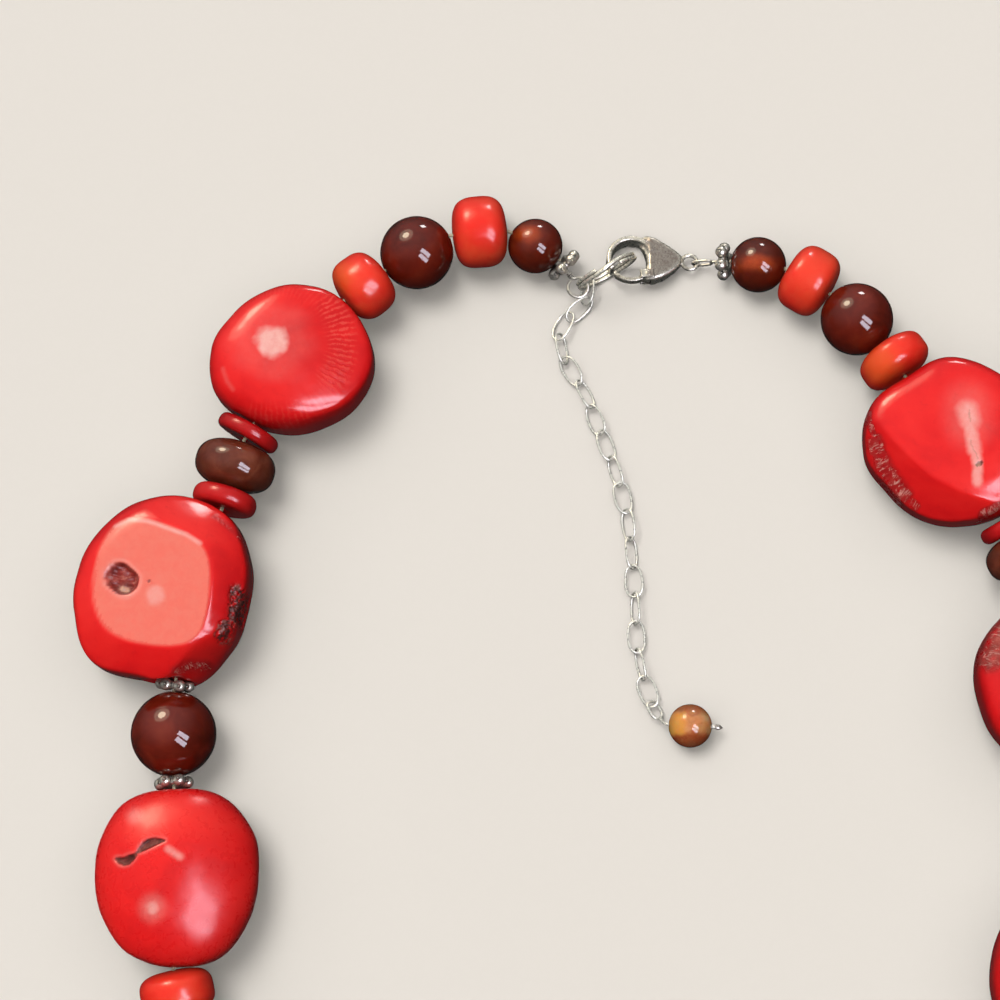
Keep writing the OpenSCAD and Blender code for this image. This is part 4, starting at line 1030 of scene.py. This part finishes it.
pin_parts = [sweep(np.concatenate([neck[:-1], ring, tail]), 0.2, 12), sweep(shank, 0.24, 12), head]
pin_face = np.zeros((sum(len(q[0]) for q in pin_parts), 4))
pin_face[-len(head[0]):, 0] = 1.0
piece("head_pin_wire", pin_parts, SILVER_CHAIN, "head_pin", attrs=marks(len(pin_face), face=pin_face))

# end bead
a0 = math.acos(0.45 / 3)
prof = [(3 * math.sin(a), 3 * math.cos(a)) for a in np.linspace(-a0, a0, 60)]
prof = prof + [(x, 0.45) for x in np.linspace(prof[-1][0] - 0.1, prof[0][0] + 0.1, 12)]
V, Q, T = lathe(prof, 80)
W = turned(V, bead_frame(end_d), end_at)
e = W - end_at + 0.25 * fbm(W / 1.2, 2)[:, None]
face = np.zeros((len(W), 4))
# painted shade darkening the bead's two sides, then a painted glow of light through one end
face[:, 0] = np.maximum(smooth(0.9, 1.7, -e[:, 1]), 0.8 * smooth(1.1, 2.2, e[:, 1]))
face[:, 1] = smooth(-0.2, -1.3, e[:, 0]) * smooth(1.9, 1.2, np.abs(e[:, 1] - 0.1))
piece("end_bead_stone", [(W, Q, T)], AMBER, "end_bead", attrs=marks(len(W), face=face, local=W - end_at))

# ---------------------------------------------------------------- clasp
CLASP_AT = np.array([4.55, 81.6, 2.1])
CLASP_M = rot("y", 3) @ rot("x", -12)
PIVOT = np.array([2.45, -2.35])
HOOK_C, HOOK_R = np.array([0.1, 0.15]), 3.15
BODY = np.array([[1.5, 3.6], [2.6, 3.72], [3.7, 3.4], [5.2, 2.5], [6.6, 1.5], [7.35, 0.8], [7.5, 0.1], [7.1, -0.7], [6.4, -1.5],
                 [5.5, -2.2], [4.5, -2.8], [3.4, -3.2], [2.4, -3.3], [1.8, -3.0], [1.6, -2.4], [1.9, -1.8], [2.25, -1.0],
                 [2.3, 0.2], [2.0, 1.3], [1.4, 2.2]])


def in_polygon(p, poly):
    """Distance to a closed outline, less than 0 inside."""
    d = np.full(len(p), 1e9)
    inside = np.zeros(len(p), bool)
    for a, b in zip(poly, np.roll(poly, -1, 0)):
        e, w_ = b - a, p - a
        h = np.clip((w_ @ e) / e.dot(e), 0, 1)
        d = np.minimum(d, np.linalg.norm(w_ - h[:, None] * e, axis=1))
        c = (a[1] > p[:, 1]) != (b[1] > p[:, 1])
        x = a[0] + (p[:, 1] - a[1]) / (e[1] if e[1] else 1e-9) * e[0]
        inside ^= c & (p[:, 0] < x)
    return np.where(inside, -d, d)


def slab(d2, z, h, k):
    """An outline's distance and a half depth made solid, edges rounded by k."""
    a, b = d2 + k, np.abs(z) - h + k
    return np.minimum(np.maximum(a, b), 0) + np.hypot(np.maximum(a, 0), np.maximum(b, 0)) - k


def band(p, a0, a1, half_w, half_z, k):
    """A curved strip of the hook's circle from angle a0 to a1."""
    v = p[:, :2] - HOOK_C
    r = np.hypot(v[:, 0], v[:, 1])
    ang = np.degrees(np.arctan2(v[:, 1], v[:, 0])) % 360
    mid, half = (a0 + a1) / 2, (a1 - a0) / 2
    over = (np.abs((ang - mid + 180) % 360 - 180) - half) * math.pi / 180 * HOOK_R
    return slab(np.maximum(np.abs(r - HOOK_R) - half_w, over), p[:, 2], half_z, k)


def cast_body(p):
    z = p[:, 2]
    hook = band(p, 20, 211, 0.36, 1.2, 0.26)
    # the teardrop swells in the middle and thins to the tail
    full_z = 1.2 - 0.035 * np.maximum(p[:, 0] - 2.2, 0) ** 1.6
    drop = slab(in_polygon(p[:, :2], BODY), z, full_z, 0.55)
    # bevel of the face that looks into the hook
    nrm = unit([-0.55, 0.0, 0.84])
    drop = smax(drop, (p - [2.75, 0.3, 1.2]) @ nrm, 0.12)
    nrm = unit([-0.55, 0.0, -0.84])
    drop = smax(drop, (p - [2.75, 0.3, -1.2]) @ nrm, 0.12)
    d = smin(hook, drop, 0.35)
    v = p - [8.5, -0.05, 0]
    tail = np.hypot(np.hypot(v[:, 0], v[:, 1]) - 1.1, z) - 0.27
    d = smin(d, tail, 0.18)
    # raised strap over the pin, then the slot and the seat for the lever
    q = p[:, :2] - PIVOT
    strap = slab(np.maximum(np.abs(q[:, 0] + 0.12 * q[:, 1] + 0.15) - 0.95, np.abs(q[:, 1]) - 0.62), z, 1.3, 0.12)
    d = smin(d, strap, 0.08)
    pin = slab(np.hypot(q[:, 0], q[:, 1]) - 0.34, z, 1.36, 0.1)
    d = smin(d, pin, 0.05)
    slot = slab(np.maximum(np.hypot(q[:, 0], q[:, 1]) - 0.95, -9), z, 0.7, 0.05)
    for deg, lo, hi, ln_ in ((95, -0.95, 0.95, 1.6), (150, -0.95, 1.25, 1.6), (180, -0.6, 1.3, 1.6)):
        u = q @ rot("z", deg)[:2, :2]
        slot = np.minimum(slot, slab(np.maximum(np.maximum(-u[:, 0], u[:, 0] - ln_), np.maximum(lo - u[:, 1], u[:, 1] - hi)), z, 0.7, 0.05))
    d = smax(d, -slot, 0.06)
    seat = np.maximum(np.hypot(q[:, 0], q[:, 1]) - 5.0, p[:, 0] + 1.5)
    d = smax(d, -seat, 0.05)
    return d + 0.035 * fbm(p / 0.9 + 3, 3)


def cast_lever(p):
    z = p[:, 2]
    q = p[:, :2] - PIVOT
    arm = band(p, 216.5, 300, 0.30, 0.55, 0.16)
    arm = smax(arm, np.hypot(q[:, 0], q[:, 1]) - 4.86, 0.12)
    boss = slab(np.hypot(q[:, 0], q[:, 1]) - 0.76, z, 0.56, 0.12)
    return smin(arm, boss, 0.25) + 0.02 * fbm(p / 0.8 + 8, 3)


def settle(part, f, turns=2):
    """Moves a mesh's points onto its surface, so that it shades smoothly."""
    V, Q, T = part
    for _ in range(turns):
        d = f(V)
        g = np.stack([(f(V + e) - f(V - e)) / 0.04 for e in np.eye(3) * 0.02], 1)
        V = V - np.clip(d / np.maximum((g ** 2).sum(1), 0.05), -0.05, 0.05)[:, None] * g
    return V, Q, T


H_ = 0.07
for name, f, lo, hi, node, body, mat in (
        ("clasp_body_cast", cast_body, (-3.9, -3.9, -1.7), (10.2, 4.3, 1.7), "clasp_body", NECK, SILVER),
        ("clasp_lever_cast", cast_lever, (-3.4, -3.8, -0.9), (3.6, -1.2, 0.9), "clasp_lever", LEVER, SILVER)):
    V, Q, T = settle(surface_net(f, lo, hi, H_), f)
    W = turned(V, CLASP_M, CLASP_AT)
    W[:, 2] = np.maximum(W[:, 2], 0.0)
    face = np.zeros((len(W), 4))
    if node == "clasp_body":
        face[:, 0] = smooth(0.15, 0.75, -in_polygon(V[:, :2], BODY)) * smooth(0.2, 0.6, V[:, 2]) * smooth(2.5, 3.1, V[:, 0] + 0.3 * np.abs(V[:, 1] - 0.3))
    piece(name, [(W, Q, T)], mat, node, body=body, attrs=marks(len(W), face=face, local=V))

# ---------------------------------------------------------------- surface under it
bpy.ops.mesh.primitive_plane_add(size=6.0, location=(0, 0, -0.00002))
floor = bpy.context.object
floor.name = "surface"
n = Net("pale_surface")
p = n.node("ShaderNodeTexCoord").outputs["Object"]
grain = n.noise(p, 900.0, 3, 0.6)
n.bump(grain, 0.04, 0.05)
floor.data.materials.append(n.set(Base_Color=n.ramp(grain, [(0.3, (0.770, 0.7185, 0.6545)), (0.7, (0.774, 0.7225, 0.6585))]), Roughness=1.0, Specular_IOR_Level=0.0))
floor.visible_glossy = floor.visible_diffuse = False

# ---------------------------------------------------------------- light
CENTRE = Vector(metres([-5, 45, 5]))


def sun(name, direction, strength, angle, colour):
    d = bpy.data.lights.new(name, "SUN")
    d.energy, d.angle, d.color = strength, math.radians(angle), colour
    o = bpy.data.objects.new(name, d)
    o.rotation_euler = Vector(direction).to_track_quat("Z", "Y").to_euler()
    bpy.context.scene.collection.objects.link(o)
    return o


def panel(name, direction, dist, w, h, turn, radiance, colour, shift=(0, 0)):
    """A glowing rectangle that faces the necklace; it only gives glints."""
    d = bpy.data.lights.new(name, "AREA")
    d.shape, d.size, d.size_y, d.color = "RECTANGLE", w, h, colour
    d.energy = radiance * math.pi * w * h
    o = bpy.data.objects.new(name, d)
    v = Vector(direction).normalized()
    q = v.to_track_quat("Z", "Y").to_matrix() @ Matrix.Rotation(math.radians(turn), 3, "Z")
    o.matrix_world = Matrix.Translation(CENTRE + v * dist + q @ Vector((shift[0], shift[1], 0))) @ q.to_4x4()
    o.visible_diffuse = False
    bpy.context.scene.collection.objects.link(o)
    return o


for nm_, dir_, e_, ang_ in (("key", (-0.32, 0.36, 1.20), 1.60, 30), ("fill", (-0.12, 0.16, 0.94), 1.35, 110), ("ambient", (0.10, -0.30, 1.0), 0.52, 70)):
    lamp = sun(nm_, dir_, e_, ang_, (1.0, 1.0, 1.0))
    lamp.data.cycles.use_multiple_importance_sampling = False
    lamp.visible_glossy = False
    lamp.data.use_shadow = nm_ != "ambient"
for k_, (w_, e_) in enumerate(((0.32, 9), (0.72, 1.6))):
    panel("lamp_%d" % k_, (-0.454, 0.683, 0.573), 1.0 + 0.05 * k_, w_, w_, 0, e_, (1.0, 0.86, 0.62)).data.shape = "DISK"
for k_, s_ in enumerate((-1, 1)):
    panel("window_%d" % k_, (0.458, -0.343, 0.82), 1.0, 0.23, 0.62, 0, 11, (0.86, 0.86, 1.0), (s_ * 0.15, s_ * 0.05))
panel("high_window", (0.21, 0.95, 0.16), 1.0, 0.18, 0.16, 45, 16, (1.0, 0.95, 0.92))

# what the polish and the metal mirror: a room that is brightest towards the top of the picture
world = bpy.data.worlds.new("room")
bpy.context.scene.world = world
world.use_nodes = True
world.cycles_visibility.diffuse = False
nt = world.node_tree
nt.nodes.clear()
tc = nt.nodes.new("ShaderNodeTexCoord")
dt = nt.nodes.new("ShaderNodeVectorMath")
dt.operation = "DOT_PRODUCT"
dt.inputs[1].default_value = unit([-0.25, 0.62, 0.74])
ma = nt.nodes.new("ShaderNodeMath")
ma.operation = "MULTIPLY_ADD"
ma.inputs[1].default_value = ma.inputs[2].default_value = 0.5
rm = nt.nodes.new("ShaderNodeValToRGB")
bg = nt.nodes.new("ShaderNodeBackground")
wo = nt.nodes.new("ShaderNodeOutputWorld")
nt.links.new(tc.outputs["Generated"], dt.inputs[0])
nt.links.new(dt.outputs["Value"], ma.inputs[0])
nt.links.new(ma.outputs[0], rm.inputs[0])
nt.links.new(rm.outputs[0], bg.inputs[0])
nt.links.new(bg.outputs[0], wo.inputs[0])
while len(rm.color_ramp.elements) < 4:
    rm.color_ramp.elements.new(0.5)
for el, (x_, c_) in zip(rm.color_ramp.elements, ((0.25, (0.025, 0.030, 0.030, 1)), (0.58, (0.08, 0.09, 0.085, 1)), (0.82, (0.36, 0.38, 0.37, 1)), (1.0, (0.60, 0.62, 0.60, 1)))):
    el.position, el.color = x_, c_

# ---------------------------------------------------------------- camera
CAM = np.array([0.0, -24.0, 400.0])
AIM = np.array([-14.0, 46.6, 5.0])
back = Vector(unit(CAM - AIM))
right = (-back).cross(Vector((0, 1, 0))).normalized()
up = right.cross(-back)
cam = bpy.data.cameras.new("camera")
cam.sensor_width = 36.0
cam.lens = 2865 * 36.0 / 1000
cam.clip_start, cam.clip_end = 0.01, 10
co = bpy.data.objects.new("camera", cam)
co.matrix_world = Matrix.Translation(Vector(metres(CAM))) @ Matrix((right, up, back)).transposed().to_4x4()
bpy.context.scene.collection.objects.link(co)
bpy.context.scene.camera = co
bpy.context.scene.view_settings.view_transform = "Standard"

bpy.context.view_layer.update()
